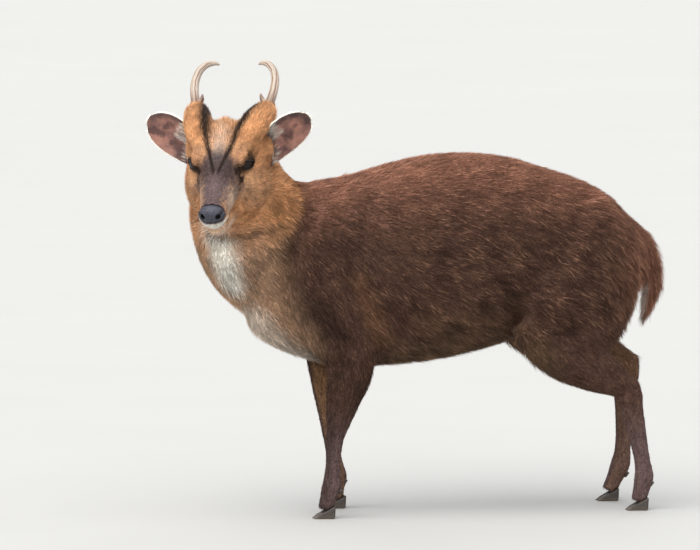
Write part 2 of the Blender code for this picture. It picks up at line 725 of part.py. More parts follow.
def parted_flesh(flesh, place, legs):
    """The flesh cut at its joints, each piece named by a point inside it."""
    head_turn = place.to_3x3()
    cuts = [mouth_cut(place)]
    cuts.append(slab("head_cut", place @ Vector(HEAD_CUT[0]), head_turn @ Vector(HEAD_CUT[1]), HEAD_CUT[2]))
    for middle, normal, half_sizes in (NECK_CUT, CHEST_CUT, RUMP_CUT):
        cuts.append(slab("trunk_cut", Vector(middle), normal, half_sizes))
    middle, normal, half_sizes = PEDICLE_CUT
    for side in (1, -1):
        across = place @ Vector((middle[0], middle[1] * side, middle[2]))
        cuts.append(slab("pedicle_cut", across, head_turn @ Vector((normal[0], normal[1] * side, 0)), half_sizes))
    middle, normal, half_sizes = GROIN_CUT
    for side in (LEFT, RIGHT):
        across = Vector((middle[0], middle[1] * side, middle[2]))
        cuts.append(slab("groin_cut", across, normal, half_sizes, Vector((1, 0, 0))))
    names = {
        "head": place @ Vector((0.03, 0, -0.02)),
        "lower_jaw": place @ Vector((0.075, 0, -0.052)),
        "neck": (-0.225, -0.014, 0.440),
        "chest": (-0.10, 0, 0.33),
        "barrel": (0.05, 0, 0.33),
        "rump": (0.25, 0, 0.38),
        "pedicle_left": place @ Vector((-0.095, 0.048, 0.020)),
        "pedicle_right": place @ Vector((-0.095, -0.048, 0.020)),
    }
    for side_name in ("left", "right"):
        fore = legs[f"fore_{side_name}"]
        shank = legs[f"shank_{side_name}"]
        hind = legs[f"hind_{side_name}"]
        hock = shank[0][-1][2]
        for limb, levels in ((fore, (ELBOW_LEVEL, KNEE_LEVEL, FETLOCK_LEVEL)), (hind, (FETLOCK_LEVEL,))):
            cuts += [limb_cut(limb, level) for level in levels]
        cuts.append(slab("hock_cut", on_limb(hind, hock)[0], HOCK_CUT_NORMAL, HOCK_CUT_SIZE, Vector((1, 0, 0))))
        names[f"forearm_{side_name}"] = on_limb(fore, (ELBOW_LEVEL + KNEE_LEVEL) / 2)[0]
        names[f"fore_cannon_{side_name}"] = on_limb(fore, (KNEE_LEVEL + FETLOCK_LEVEL) / 2)[0]
        names[f"fore_pastern_{side_name}"] = on_limb(fore, FETLOCK_LEVEL - PASTERN_MIDDLE)[0]
        names[f"shank_{side_name}"] = on_limb(shank, SHANK_MIDDLE)[0]
        names[f"hind_cannon_{side_name}"] = on_limb(hind, (hock + FETLOCK_LEVEL) / 2)[0]
        names[f"hind_pastern_{side_name}"] = on_limb(hind, FETLOCK_LEVEL - PASTERN_MIDDLE)[0]
    return parted(boolean(flesh, cuts, "DIFFERENCE"), names)


def main():
    for old in list(bpy.data.objects):
        bpy.data.objects.remove(old)
    place = head_place()
    legs = limbs()
    nodes = {}
    flesh = one_body("flesh", flesh_pieces(place, legs), FLESH_VOXEL, FLESH_SMOOTHING, FLESH_TRIANGLES)

    # The claws, the eyes and the nose pad keep their shape, and the flesh is cut to them.
    cutters = []
    for foot in ("fore_left", "fore_right", "hind_left", "hind_right"):
        stations, side = legs[foot]
        for which, way in (("inner", -side), ("outer", side)):
            made = claw(f"claw_{foot}_{which}", stations[-1][0], stations[-1][1] * side, way)
            cutters.append(grown(made))
            nodes[made.name] = (made, "hoof")
    lid_rings = []
    for side, name in ((1, "left"), (-1, "right")):
        middle = Vector((EYE_PLACE.x, EYE_PLACE.y * side, EYE_PLACE.z))
        made = egg(f"eye_{name}", place, middle, (EYE_RADIUS,) * 3, rings=9)
        nodes[made.name] = (made, "eye")
        cutters.append(egg("socket", place, middle, (EYE_RADIUS + GAP,) * 3, rings=9))
        ring, opening = lids(place, side)
        lid_rings.append(ring)
        cutters.append(opening)
        gland_turn = Matrix.Rotation(GLAND_TILT, 4, "Y")
        gland = Vector((GLAND_PLACE[0], GLAND_PLACE[1] * side, GLAND_PLACE[2]))
        cutters.append(egg("gland", place, gland, GLAND_SIZE, gland_turn, rings=6))
    nose = egg("nose_pad", place, NOSE_PLACE, NOSE_SIZE, Matrix.Rotation(NOSE_TILT, 4, "Y"), rings=10)
    cutters.append(grown(nose))
    flesh = boolean(flesh, lid_rings, "UNION")
    flesh = keep_largest(boolean(flesh, cutters, "DIFFERENCE"))
    nostrils = []
    for side in (1, -1):
        turn = Matrix.Rotation(NOSTRIL_TURN * side, 4, "X")
        where = (NOSTRIL_PLACE[0], NOSTRIL_PLACE[1] * side, NOSTRIL_PLACE[2])
        nostrils.append(egg("nostril", place, where, NOSTRIL_SIZE, turn, rings=6))
    nodes["nose_pad"] = (keep_largest(boolean(nose, nostrils, "DIFFERENCE")), "nose")

    # What stands on the flesh is cut to it.
    skin = grown(flesh)
    for side, name in ((1, "left"), (-1, "right")):
        made = keep_largest(boolean(ear(place, side), [copied(skin, "skin_cut")], "DIFFERENCE"))
        nodes[made.name] = (made, "ear")
        beam = round_tube(f"antler_{name}", ANTLER, place, side, 12, steps=3)
        burr_place = Vector((BURR_PLACE[0], BURR_PLACE[1] * side, BURR_PLACE[2]))
        burr = egg("burr", place, burr_place, BURR_SIZE, Matrix.Rotation(BURR_TURN, 4, "Y"), rings=6)
        beam = boolean(beam, [burr], "UNION")
        beam = keep_largest(boolean(beam, [copied(skin, "skin_cut")], "DIFFERENCE"))
        nodes[beam.name] = (beam, "antler")
        tine = round_tube(f"brow_tine_{name}", BROW_TINE, place, side, 8, steps=3)
        tine = keep_largest(boolean(tine, [copied(skin, "skin_cut"), grown(beam)], "DIFFERENCE"))
        nodes[tine.name] = (tine, "antler")
    nodes["tail"] = (keep_largest(boolean(tube("tail", TAIL, steps=3), [skin], "DIFFERENCE")), "coat_ginger")

    ginger = ("head", "lower_jaw", "neck", "pedicle_left", "pedicle_right")
    for name, made in parted_flesh(flesh, place, legs).items():
        nodes[name] = (made, "coat_ginger" if name in ginger else "coat_brown")

    corners = [vert.co for made, _ in nodes.values() for vert in made.data.vertices]
    lowest = Vector([min(corner[i] for corner in corners) for i in range(3)])
    highest = Vector([max(corner[i] for corner in corners) for i in range(3)])
    to_origin = Matrix.Translation(((lowest.x + highest.x) / -2, (lowest.y + highest.y) / -2, -lowest.z))
    home = bpy.data.collections.new("muntjac")
    bpy.context.scene.collection.children.link(home)
    for name, (made, finish) in nodes.items():
        made.name = name
        for old in list(made.users_collection):
            old.objects.unlink(made)
        home.objects.link(made)
        made.data.transform(to_origin)
        paint(made, finish)


main()
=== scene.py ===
"""A muntjac buck, life size: the looks of a still model that stands side on with its head turned.

Metres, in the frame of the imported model: its head end is at -X, its left side at -Y, the floor at z = 0.
"""

import math

import bmesh
import bpy
import numpy as np
from mathutils import Matrix, Vector
from mathutils.bvhtree import BVHTree


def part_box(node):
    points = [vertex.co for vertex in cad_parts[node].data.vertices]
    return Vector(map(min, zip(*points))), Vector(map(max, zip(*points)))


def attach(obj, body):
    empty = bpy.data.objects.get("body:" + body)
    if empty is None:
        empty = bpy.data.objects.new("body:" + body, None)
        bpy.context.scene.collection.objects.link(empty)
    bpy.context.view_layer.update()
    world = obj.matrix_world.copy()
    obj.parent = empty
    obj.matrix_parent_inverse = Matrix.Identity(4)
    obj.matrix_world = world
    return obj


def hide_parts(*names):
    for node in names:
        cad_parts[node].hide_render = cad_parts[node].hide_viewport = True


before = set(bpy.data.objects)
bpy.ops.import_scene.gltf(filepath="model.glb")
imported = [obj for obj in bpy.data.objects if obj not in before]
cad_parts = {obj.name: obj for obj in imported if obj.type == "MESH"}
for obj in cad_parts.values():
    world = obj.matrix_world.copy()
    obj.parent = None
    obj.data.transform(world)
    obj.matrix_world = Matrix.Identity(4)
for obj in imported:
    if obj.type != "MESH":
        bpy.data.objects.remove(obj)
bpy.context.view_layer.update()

# The view: a long lens a little above the animal's left side, turned towards its head, as in the photo.
# Soft daylight comes from above, with a weaker light on each side, and the model stands on a plain floor.
VIEW_AZIMUTH = math.radians(-13)
VIEW_ELEVATION = math.radians(6)
VIEW_DISTANCE = 24.0
VIEW_WIDTH = 0.98  # what the frame takes in at the animal
VIEW_CENTRE = Vector((-0.0812, 0.0187, 0.3361))
VIEW_END = 300.0
SENSOR = 36.0
FLOOR_SIDE = 80.0
DAYLIGHT = 0.52
SKY_TINT = (0.86, 0.9, 0.95, 1)


def placed(name, data):
    """A new object in the scene, with its data."""
    made = bpy.data.objects.new(name, data)
    bpy.context.scene.collection.objects.link(made)
    return made


deep = Vector((-math.sin(VIEW_AZIMUTH), math.cos(VIEW_AZIMUTH), 0))
aim = deep * math.cos(VIEW_ELEVATION) - Vector((0, 0, math.sin(VIEW_ELEVATION)))
view = bpy.data.cameras.new("view")
view.sensor_width = SENSOR
view.lens = SENSOR * VIEW_DISTANCE / VIEW_WIDTH
view.clip_end = VIEW_END
camera = placed("view", view)
camera.location = VIEW_CENTRE - aim * VIEW_DISTANCE
camera.rotation_euler = aim.to_track_quat("-Z", "Y").to_euler()
bpy.context.scene.camera = camera
bpy.context.scene.view_settings.view_transform = "Standard"

LAMPS = (
    # name, bearing and height of the light in degrees, strength, spread in degrees, tint
    ("sky_light", -35, 66, 3.15, 70, (1.0, 0.99, 0.97)),
    ("head_light", -80, 30, 0.95, 50, (1.0, 0.985, 0.96)),
    ("front_light", -13, 14, 0.85, 60, (1.0, 0.985, 0.96)),
    ("tail_light", 80, 32, 0.45, 50, (0.96, 0.98, 1.0)),
    ("far_light", 165, 42, 1.0, 60, (0.96, 0.98, 1.0)),
)
for name, bearing, height, strength, spread, tint in LAMPS:
    turn, rise = math.radians(bearing), math.radians(height)
    source = Vector((math.sin(turn) * math.cos(rise), -math.cos(turn) * math.cos(rise), math.sin(rise)))
    lamp = bpy.data.lights.new(name, "SUN")
    lamp.energy = strength
    lamp.angle = math.radians(spread)
    lamp.color = tint
    placed(name, lamp).rotation_euler = (-source).to_track_quat("-Z", "Y").to_euler()

sky = bpy.data.worlds.new("sky")
sky.use_nodes = True
backdrop = next(n for n in sky.node_tree.nodes if n.type == "BACKGROUND")
backdrop.inputs["Color"].default_value = SKY_TINT
backdrop.inputs["Strength"].default_value = DAYLIGHT
bpy.context.scene.world = sky


def tone(red, green, blue):
    """A colour given as it looks on a screen, 0 to 255, as the shader needs it."""
    linear = []
    for level in (red, green, blue):
        share = level / 255
        linear.append(share / 12.92 if share <= 0.04045 else ((share + 0.055) / 1.055) ** 2.4)
    return (*linear, 1.0)


class Level:
    """A socket of a finish, on which sums are written as they are in Python."""

    def __init__(self, finish, socket):
        self.finish = finish
        self.socket = socket

    def __add__(self, other):
        return self.finish.sum("ADD", self, other)

    __radd__ = __add__

    def __mul__(self, other):
        return self.finish.sum("MULTIPLY", self, other)

    __rmul__ = __mul__

    def __sub__(self, other):
        return self.finish.sum("SUBTRACT", self, other)

    def __rsub__(self, other):
        return self.finish.sum("SUBTRACT", other, self)

    def __pow__(self, other):
        return self.finish.sum("POWER", self, other)


class Finish:
    """A finish on one Principled shader, built node by node."""

    def __init__(self, name, roughness=0.5, sheen=0.0, coat=0.0, coat_roughness=0.03, specular=0.5):
        self.material = bpy.data.materials.new(name)
        self.material.use_nodes = True
        self.tree = self.material.node_tree
        self.shader = next(n for n in self.tree.nodes if n.type == "BSDF_PRINCIPLED")
        self.shader.inputs["Roughness"].default_value = roughness
        self.shader.inputs["Sheen Weight"].default_value = sheen
        self.shader.inputs["Coat Weight"].default_value = coat
        self.shader.inputs["Coat Roughness"].default_value = coat_roughness
        self.shader.inputs["Specular IOR Level"].default_value = specular

    def give(self, socket, value):
        """Links a level to a socket, or sets the socket to a number or a colour."""
        if isinstance(value, Level):
            self.tree.links.new(value.socket, socket)
        else:
            socket.default_value = value

    def node(self, kind, settings=None, inputs=None, output=0):
        """One node, its settings made before its sockets are given, as the level of one output."""
        made = self.tree.nodes.new(kind)
        for key, value in (settings or {}).items():
            if key == "stops":
                ramp = made.color_ramp
                while len(ramp.elements) < len(value):
                    ramp.elements.new(0.5)
                for element, (place, colour) in zip(ramp.elements, value):
                    element.position = place
                    element.color = colour
            else:
                setattr(made, key, value)
        for key, value in (inputs or {}).items():
            self.give(made.inputs[key], value)
        return Level(self, made.outputs[output])

    def sum(self, operation, first, second):
        return self.node("ShaderNodeMath", {"operation": operation}, {0: first, 1: second})

    def within(self, level, low, high):
        """0 below low, 1 above high, and smooth between."""
        settings = {"interpolation_type": "SMOOTHSTEP"}
        return self.node("ShaderNodeMapRange", settings, {0: level, 1: low, 2: high})

    def mix(self, share, first, second):
        """Two colours mixed by a share from 0 to 1, through the colour sockets of the node."""
        return self.node("ShaderNodeMix", {"data_type": "RGBA"}, {0: share, 6: first, 7: second}, output=2)

    def room(self):
        """The place in the room, in metres."""
        return self.node("ShaderNodeTexCoord", output="Object")

    def grain(self, scale, detail=2.0, place=None):
        """Noise at a number of lumps a metre."""
        inputs = {"Vector": place or self.room(), "Scale": scale, "Detail": detail}
        return self.node("ShaderNodeTexNoise", inputs=inputs)

    def attribute(self, name):
        """The four levels of a colour attribute of the mesh."""
        whole = self.node("ShaderNodeAttribute", {"attribute_name": name})
        split = self.node("ShaderNodeSeparateColor", inputs={0: whole}).socket.node
        alpha = whole.socket.node.outputs["Alpha"]
        return [Level(self, socket) for socket in (*split.outputs, alpha)]

    def paint(self, colour):
        self.give(self.shader.inputs["Base Color"], colour)

    def bump(self, height, distance, strength):
        inputs = {"Height": height, "Distance": distance, "Strength": strength}
        self.give(self.shader.inputs["Normal"], self.node("ShaderNodeBump", inputs=inputs))


def mesh_of(bm, name):
    """The mesh made in bm, which is then let go."""
    made = bpy.data.meshes.new(name)
    bm.to_mesh(made)
    bm.free()
    return made


floor_paint = Finish("floor_paint", roughness=0.9)
floor_tones = tone(177, 176, 173), tone(182, 181, 178)
floor_paint.paint(floor_paint.mix(floor_paint.grain(3.0, 3.0), *floor_tones))
bm = bmesh.new()
bmesh.ops.create_grid(bm, x_segments=2, y_segments=2, size=FLOOR_SIDE / 2)
floor_mesh = mesh_of(bm, "floor")
floor_mesh.materials.append(floor_paint.material)
floor = placed("floor", floor_mesh)

# The skin: one closed surface under the whole coat, made from the flesh pieces run together and drawn in by
# the depth of the coat. It is finest on the head, where the folds, slits and lips are pressed into it.
SIDES = ("left", "right")
PAIRED = ("pedicle", "forearm", "fore_cannon", "fore_pastern", "shank", "hind_cannon", "hind_pastern")
FLESH = ["head", "lower_jaw", "neck", "chest", "barrel", "rump", "tail"]
FLESH += [f"{part}_{side}" for part in PAIRED for side in SIDES]
SKIN_VOXEL = 0.0016
SKIN_SMOOTHING = 4
BODY_SMOOTHING = 70
SKIN_SHARE = 0.22  # of the fine mesh's faces that are kept
FACE_WEIGHT = 8.0  # how much more of the face's mesh is kept
FACE_MIDDLE = (0.01, 0, -0.02)
FACE_REACH = (0.095, 0.14)  # the skin is finest within the first and smoothed beyond the second
FEET_TOP = (0.05, 0.09)  # below the first the skin is not smoothed
LEGS_TOP = (0.13, 0.19)  # below the first it is smoothed less
LEG_SMOOTHING = 0.3
LEAST_WEIGHT = 0.02
MERGED = 0.00001
GAP_FILL = 0.0002  # by how much each piece grows, to close the gaps between them
MIDPLANE = (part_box("barrel")[0].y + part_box("barrel")[1].y) / 2

# The head's frame: forward along the palate, towards the animal's left, and up, from between the eyes.
HEAD_AZIMUTH = math.radians(-24)
HEAD_DIP = math.radians(32)
HEAD_ROLL = math.radians(2)
EYE_PLACE = Vector((0.005, 0.033, 0.001))
level_way = Vector((math.sin(HEAD_AZIMUTH), -math.cos(HEAD_AZIMUTH), 0))
forward = level_way * math.cos(HEAD_DIP) - Vector((0, 0, math.sin(HEAD_DIP)))
leftward = Vector((0, 0, 1)).cross(level_way)
head_turn = Matrix((forward, leftward, forward.cross(leftward))).transposed()
head_turn = head_turn @ Matrix.Rotation(HEAD_ROLL, 3, "X")
eye_middle = sum((sum(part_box(f"eye_{side}"), Vector()) / 2 for side in SIDES), Vector()) / 2
head_middle = eye_middle - head_turn @ Vector((EYE_PLACE.x, 0, EYE_PLACE.z))
HEAD = Matrix.Translation(head_middle) @ head_turn.to_4x4()
HEAD_AXES = np.array(head_turn)
HEAD_MIDDLE = np.array(head_middle)


def in_head(points):
    """Points of the room as forward, aside and up in the head's frame."""
    return (points - HEAD_MIDDLE) @ HEAD_AXES


def mirrored(place, side):
    """A place or a way of the left half, as it is on the left, side 1, or on the right, side -1."""
    return Vector((place[0], place[1] * side, place[2]))


def ease(level, low, high):
    """0 below low, 1 above high, and smooth between."""
    share = np.clip((level - low) / (high - low), 0, 1)
    return share * share * (3 - 2 * share)


def blob(points, middle, reach):
    """1 at the middle of a soft round patch with three reaches, falling to 0 outside."""
    away = np.sqrt((((points - np.array(middle)) / np.array(reach)) ** 2).sum(1))
    return 1 - ease(away, 0.55, 1.0)


def corners_of(mesh):
    places = np.empty(len(mesh.vertices) * 3)
    mesh.vertices.foreach_get("co", places)
    return places.reshape(-1, 3)


def put_corners(mesh, places):
    mesh.vertices.foreach_set("co", np.ascontiguousarray(places).ravel())
    mesh.update()


def normals_of(mesh):
    ways = np.empty(len(mesh.vertices) * 3, np.float32)
    mesh.vertex_normals.foreach_get("vector", ways)
    return ways.reshape(-1, 3).astype(float)


def shown(name, mesh, finish, slot, *nodes):
    """A finished piece in the room: it rides on the body and stands for the nodes named."""
    piece = placed(name, mesh)
    mesh.materials.clear()
    mesh.materials.append(finish.material)
    mesh.shade_smooth()
    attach(piece, "root")
    if nodes:
        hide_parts(*nodes)
    return piece


def applied(mesh, *modifiers, groups=None):
    """A new mesh with modifiers made real: each a kind and its settings, which may name groups of corners."""
    holder = placed("holder", mesh)
    for name, weights in (groups or {}).items():
        group = holder.vertex_groups.new(name=name)
        for i in np.nonzero(weights > LEAST_WEIGHT)[0]:
            group.add([int(i)], float(weights[i]), "REPLACE")
    for kind, settings in modifiers:
        modifier = holder.modifiers.new(kind.lower(), kind)
        for key, value in settings.items():
            setattr(modifier, key, value)
    made = bpy.data.meshes.new_from_object(holder.evaluated_get(bpy.context.evaluated_depsgraph_get()))
    bpy.data.objects.remove(holder)
    return made


def refined(nodes, voxel, smoothing, grow=0.0):
    """CAD nodes, each grown a little, run together and meshed anew in small even faces."""
    bm = bmesh.new()
    for node in nodes:
        part = bmesh.new()
        part.from_mesh(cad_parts[node].data)
        bmesh.ops.remove_doubles(part, verts=part.verts, dist=MERGED)
        part.normal_update()
        for vert in part.verts:
            vert.co += vert.normal * grow
        mesh = mesh_of(part, node)
        bm.from_mesh(mesh)
        bpy.data.meshes.remove(mesh)
    return applied(
        mesh_of(bm, "joined"),
        ("REMESH", {"mode": "VOXEL", "voxel_size": voxel}),
        ("SMOOTH", {"factor": 0.5, "iterations": smoothing}),
    )


fine_skin = refined(FLESH, SKIN_VOXEL, SKIN_SMOOTHING, GAP_FILL)
fine_places = corners_of(fine_skin)
from_face = np.sqrt(((in_head(fine_places) - FACE_MIDDLE) ** 2).sum(1))
near_face = 1 - ease(from_face, *FACE_REACH)
by_height = LEG_SMOOTHING + (1 - LEG_SMOOTHING) * ease(fine_places[:, 2], *LEGS_TOP)
to_smooth = (1 - near_face) * ease(fine_places[:, 2], *FEET_TOP) * by_height
thinning = {"ratio": SKIN_SHARE, "vertex_group": "face", "invert_vertex_group": True}
thinning["vertex_group_factor"] = FACE_WEIGHT
skin_mesh = applied(
    fine_skin,
    ("SMOOTH", {"factor": 0.5, "iterations": BODY_SMOOTHING, "vertex_group": "smooth"}),
    ("DECIMATE", thinning),
    groups={"face": near_face, "smooth": to_smooth},
)

bm = bmesh.new()
bm.from_mesh(skin_mesh)
loose = set(bm.verts)
islands = []
while loose:
    island, edge = set(), [loose.pop()]
    while edge:
        vert = edge.pop()
        island.add(vert)
        for link in vert.link_edges:
            other = link.other_vert(vert)
            if other in loose:
                loose.discard(other)
                edge.append(other)
    islands.append(island)
islands.sort(key=len)
for island in islands[:-1]:
    bmesh.ops.delete(bm, geom=list(island), context="VERTS")
bm.to_mesh(skin_mesh)
bm.free()

# The lie of the coat: at named places, the way the hair lies, how deep the coat is there, how long and how
# wide its tufts are, in millimetres, and how far they stand off the skin, in degrees.
# Between the places it runs smoothly from one to the next.
HEAD_LIE = {
    # place: forward, aside, up; way; depth, length, width, lift
    "nose_bridge": ((0.075, 0.0, 0.003), (-1, 0, 0.1), (0.7, 3.6, 0.55, 9)),
    "bridge_side": ((0.062, 0.02, -0.008), (-1, 0.1, -0.1), (0.7, 4.0, 0.6, 9)),
    "upper_lip": ((0.09, 0.018, -0.03), (-0.9, 0.2, -0.45), (0.6, 3.2, 0.5, 9)),
    "lip_side": ((0.062, 0.022, -0.033), (-0.9, 0.2, -0.4), (0.8, 4.2, 0.6, 12)),
    "chin": ((0.08, 0.008, -0.056), (-1, 0, -0.3), (0.9, 4.5, 0.6, 16)),
    "jaw_front": ((0.045, 0.016, -0.062), (-1, 0.1, -0.3), (1.4, 6.5, 0.75, 16)),
    "jaw_back": ((-0.005, 0.026, -0.078), (-1, 0.2, -0.25), (3.0, 12, 1.0, 20)),
    "under_eye": ((0.024, 0.033, -0.018), (-0.9, 0.2, -0.5), (0.9, 4.5, 0.6, 10)),
    "forehead": ((0.022, 0.0, 0.018), (-1, 0, 0.2), (0.8, 4.8, 0.65, 10)),
    "brow": ((0.006, 0.031, 0.019), (-1, 0.3, 0.2), (0.9, 4.8, 0.65, 12)),
    "forelock": ((-0.028, 0.0, 0.04), (-1, 0, 0.5), (2.4, 12, 0.75, 30)),
    "crown": ((-0.052, 0.0, 0.03), (-1, 0, 0.2), (2.6, 12, 0.85, 26)),
    "poll": ((-0.075, 0.0, 0.002), (-0.5, 0, -0.9), (3.0, 12, 1.0, 22)),
    "temple": ((-0.022, 0.044, 0.004), (-1, 0.3, 0.05), (1.4, 8.5, 0.75, 18)),
    "cheek_front": ((0.024, 0.036, -0.038), (-0.8, 0.3, -0.6), (1.6, 8.5, 0.75, 16)),
    "cheek": ((-0.002, 0.048, -0.05), (-0.85, 0.35, -0.5), (2.6, 13, 0.85, 20)),
    "cheek_back": ((-0.035, 0.056, -0.052), (-0.95, 0.3, -0.35), (3.2, 16, 0.95, 24)),
    "behind_ear": ((-0.066, 0.04, -0.03), (-0.7, 0.3, -0.7), (1.6, 11, 0.9, 22)),
    "ear_root": ((-0.05, 0.056, -0.012), (-0.3, 0.9, 0.4), (0.6, 11, 0.8, 26)),
    "pedicle_root": ((-0.025, 0.032, 0.04), (-1, 0.15, 0.25), (1.4, 7.5, 0.75, 18)),
    "pedicle": ((-0.07, 0.045, 0.042), (-1, 0.12, 0.1), (1.2, 8.5, 0.75, 24)),
    "pedicle_top": ((-0.102, 0.05, 0.034), (-1, 0.1, 0.1), (1.2, 10.5, 0.7, 36)),
}
BODY_LIE = {
    # place: x, aside, z; way; depth, length, width, lift
    "nape": ((-0.205, 0.02, 0.515), (0.85, 0, -0.5), (4.0, 15, 1.1, 18)),
    "nape_low": ((-0.15, 0.02, 0.48), (0.95, 0, -0.25), (4.5, 16, 1.15, 17)),
    "neck_side": ((-0.205, 0.06, 0.44), (0.62, 0, -0.78), (4.5, 16, 1.1, 18)),
    "neck_low": ((-0.19, 0.062, 0.385), (0.62, 0, -0.78), (5.0, 17, 1.15, 18)),
    "throat": ((-0.275, 0.0, 0.38), (0.4, 0, -0.92), (4.5, 16, 1.1, 18)),
    "chest_front": ((-0.245, 0.02, 0.325), (0.5, 0, -0.86), (5.0, 18, 1.2, 18)),
    "chest_low": ((-0.195, 0.04, 0.262), (0.8, 0, -0.6), (5.0, 19, 1.2, 20)),
    "brisket": ((-0.15, 0.02, 0.222), (1.0, 0, -0.3), (5.0, 18, 1.2, 20)),
    "withers": ((-0.085, 0.01, 0.478), (1.0, 0, -0.02), (5.0, 16, 1.15, 16)),
    "shoulder_top": ((-0.1, 0.07, 0.43), (0.85, 0, -0.45), (5.0, 16, 1.15, 15)),
    "shoulder": ((-0.115, 0.096, 0.35), (0.62, 0, -0.78), (4.5, 16, 1.15, 15)),
    "arm": ((-0.1, 0.096, 0.28), (0.5, 0, -0.86), (4.0, 15, 1.1, 15)),
    "behind_elbow": ((-0.045, 0.085, 0.29), (0.72, 0, -0.7), (5.5, 21, 1.2, 20)),
    "back": ((0.05, 0.015, 0.5), (1.0, 0, 0.0), (5.5, 16, 1.15, 17)),
    "loin": ((0.17, 0.015, 0.49), (1.0, 0, -0.15), (5.5, 17, 1.2, 18)),
    "croup": ((0.262, 0.015, 0.455), (0.86, 0, -0.5), (5.5, 18, 1.2, 18)),
    "upper_flank": ((0.03, 0.085, 0.43), (0.95, 0, -0.3), (5.5, 17, 1.2, 16)),
    "flank": ((0.03, 0.102, 0.35), (0.91, 0, -0.4), (5.5, 18, 1.2, 16)),
    "low_flank": ((0.03, 0.085, 0.265), (0.86, 0, -0.5), (5.5, 20, 1.2, 18)),
    "belly": ((0.03, 0.02, 0.21), (1.0, 0, -0.15), (5.5, 20, 1.2, 22)),
    "groin": ((0.155, 0.06, 0.245), (0.88, 0, -0.45), (5.5, 20, 1.2, 20)),
    "hip": ((0.19, 0.098, 0.42), (0.85, 0, -0.52), (5.5, 18, 1.2, 16)),
    "thigh": ((0.225, 0.11, 0.345), (0.8, 0, -0.6), (5.5, 18, 1.2, 16)),
    "thigh_low": ((0.19, 0.112, 0.29), (0.92, 0, -0.4), (5.0, 18, 1.2, 17)),
    "buttock": ((0.3, 0.07, 0.35), (0.5, 0, -0.86), (4.0, 21, 1.2, 28)),
    "seat": ((0.318, 0.022, 0.335), (0.4, 0, -0.9), (1.0, 22, 1.2, 34)),
    "buttock_low": ((0.282, 0.075, 0.28), (0.55, 0, -0.84), (5.0, 18, 1.2, 20)),
    "stifle": ((0.165, 0.105, 0.255), (0.8, 0, -0.6), (4.0, 15, 1.1, 16)),
    "shank": ((0.225, 0.1, 0.225), (0.78, 0, -0.62), (3.5, 13, 1.05, 15)),
    "shank_low": ((0.28, 0.08, 0.195), (0.72, 0, -0.7), (2.6, 10, 0.9, 14)),
    "hock": ((0.308, 0.07, 0.165), (0.15, 0, -1), (1.8, 8.0, 0.85, 13)),
    "hind_cannon": ((0.318, 0.062, 0.1), (0.08, 0, -1), (1.5, 7.0, 0.8, 12)),
    "hind_pastern": ((0.325, 0.06, 0.04), (-0.2, 0, -1), (1.3, 6.0, 0.75, 14)),
    "forearm": ((-0.1, 0.085, 0.215), (-0.05, 0, -1), (3.0, 12, 1.0, 14)),
    "forearm_low": ((-0.105, 0.072, 0.16), (-0.08, 0, -1), (2.2, 9.0, 0.9, 13)),
    "fore_cannon": ((-0.117, 0.06, 0.09), (0.0, 0, -1), (1.5, 7.0, 0.8, 12)),
    "fore_pastern": ((-0.122, 0.06, 0.04), (-0.2, 0, -1), (1.3, 6.0, 0.75, 14)),
    "tail_root": ((0.312, 0.01, 0.412), (0.7, 0, -0.75), (4.5, 17, 1.1, 16)),
    "tail": ((0.352, 0.015, 0.35), (0.12, 0, -1), (1.2, 20, 1.1, 26)),
    "tail_end": ((0.35, 0.01, 0.28), (-0.1, 0, -1), (1.4, 21, 1.1, 22)),
}
MILLIMETRE = 0.001
NO_DISTANCE = 1e-6  # square metres added, so that no place is at no distance
TINY = 1e-9
LIE_POWER = 1.9  # the higher, the more each place keeps to itself

lie_rows = []
for place, way, sizes in HEAD_LIE.values():
    for side in (1, -1):
        turned = (head_turn @ mirrored(way, side)).normalized()
        lie_rows.append((HEAD @ mirrored(place, side), turned, sizes))
for place, way, sizes in BODY_LIE.values():
    for side in (1, -1):
        spot = Vector((place[0], MIDPLANE + place[1] * side, place[2]))
        lie_rows.append((spot, mirrored(way, side).normalized(), sizes))
lie_places, lie_ways, lie_sizes = (np.array(column, float) for column in zip(*lie_rows))


def coat_lie(points):
    """The hair's way at each point, and the coat's depth, length and width in metres and lift in radians."""
    away = ((points[:, None, :] - lie_places[None]) ** 2).sum(2) + NO_DISTANCE
    pull = away**-LIE_POWER
    pull /= pull.sum(1, keepdims=True)
    depth, length, width, lift = (pull @ lie_sizes).T
    ways = pull @ lie_ways
    ways /= np.linalg.norm(ways, axis=1, keepdims=True) + TINY
    return ways, depth * MILLIMETRE, length * MILLIMETRE, width * MILLIMETRE, np.radians(lift)


def in_lots(work, points, lot=20000):
    """The same work on a lot of points at a time, to spare memory."""
    parts = [work(points[i : i + lot]) for i in range(0, len(points), lot)]
    return [np.concatenate(part) for part in zip(*parts)]


# The face's relief: slits and folds pressed into the skin, and small swellings, as soft patches in the head's
# frame: forward, aside, up; reaches; and how far the skin moves out, in millimetres.
RELIEF = {
    "gland_slit": ((0.0265, 0.031, -0.0085), (0.0085, 0.008, 0.003), -1.4, 38),
    "gland_rim": ((0.029, 0.031, -0.0045), (0.011, 0.008, 0.004), 0.9, 38),
    "brow_fold": ((0.004, 0.033, 0.019), (0.015, 0.012, 0.006), 1.2, 10),
    "lid_crease": ((0.005, 0.036, 0.0115), (0.014, 0.01, 0.0022), -0.8, 4),
    "lip_wing": ((0.088, 0.019, -0.029), (0.012, 0.008, 0.0085), 1.3, 0),
    "lip_corner": ((0.052, 0.025, -0.0385), (0.006, 0.01, 0.003), -1.0, 0),
    "chin_pad": ((0.085, 0.0, -0.056), (0.014, 0.014, 0.009), 0.8, 0),
    "nose_hollow": ((0.078, 0.017, -0.012), (0.013, 0.006, 0.007), -0.9, 0),
    "cheek_hollow": ((0.044, 0.029, -0.025), (0.018, 0.01, 0.011), -0.9, 0),
}
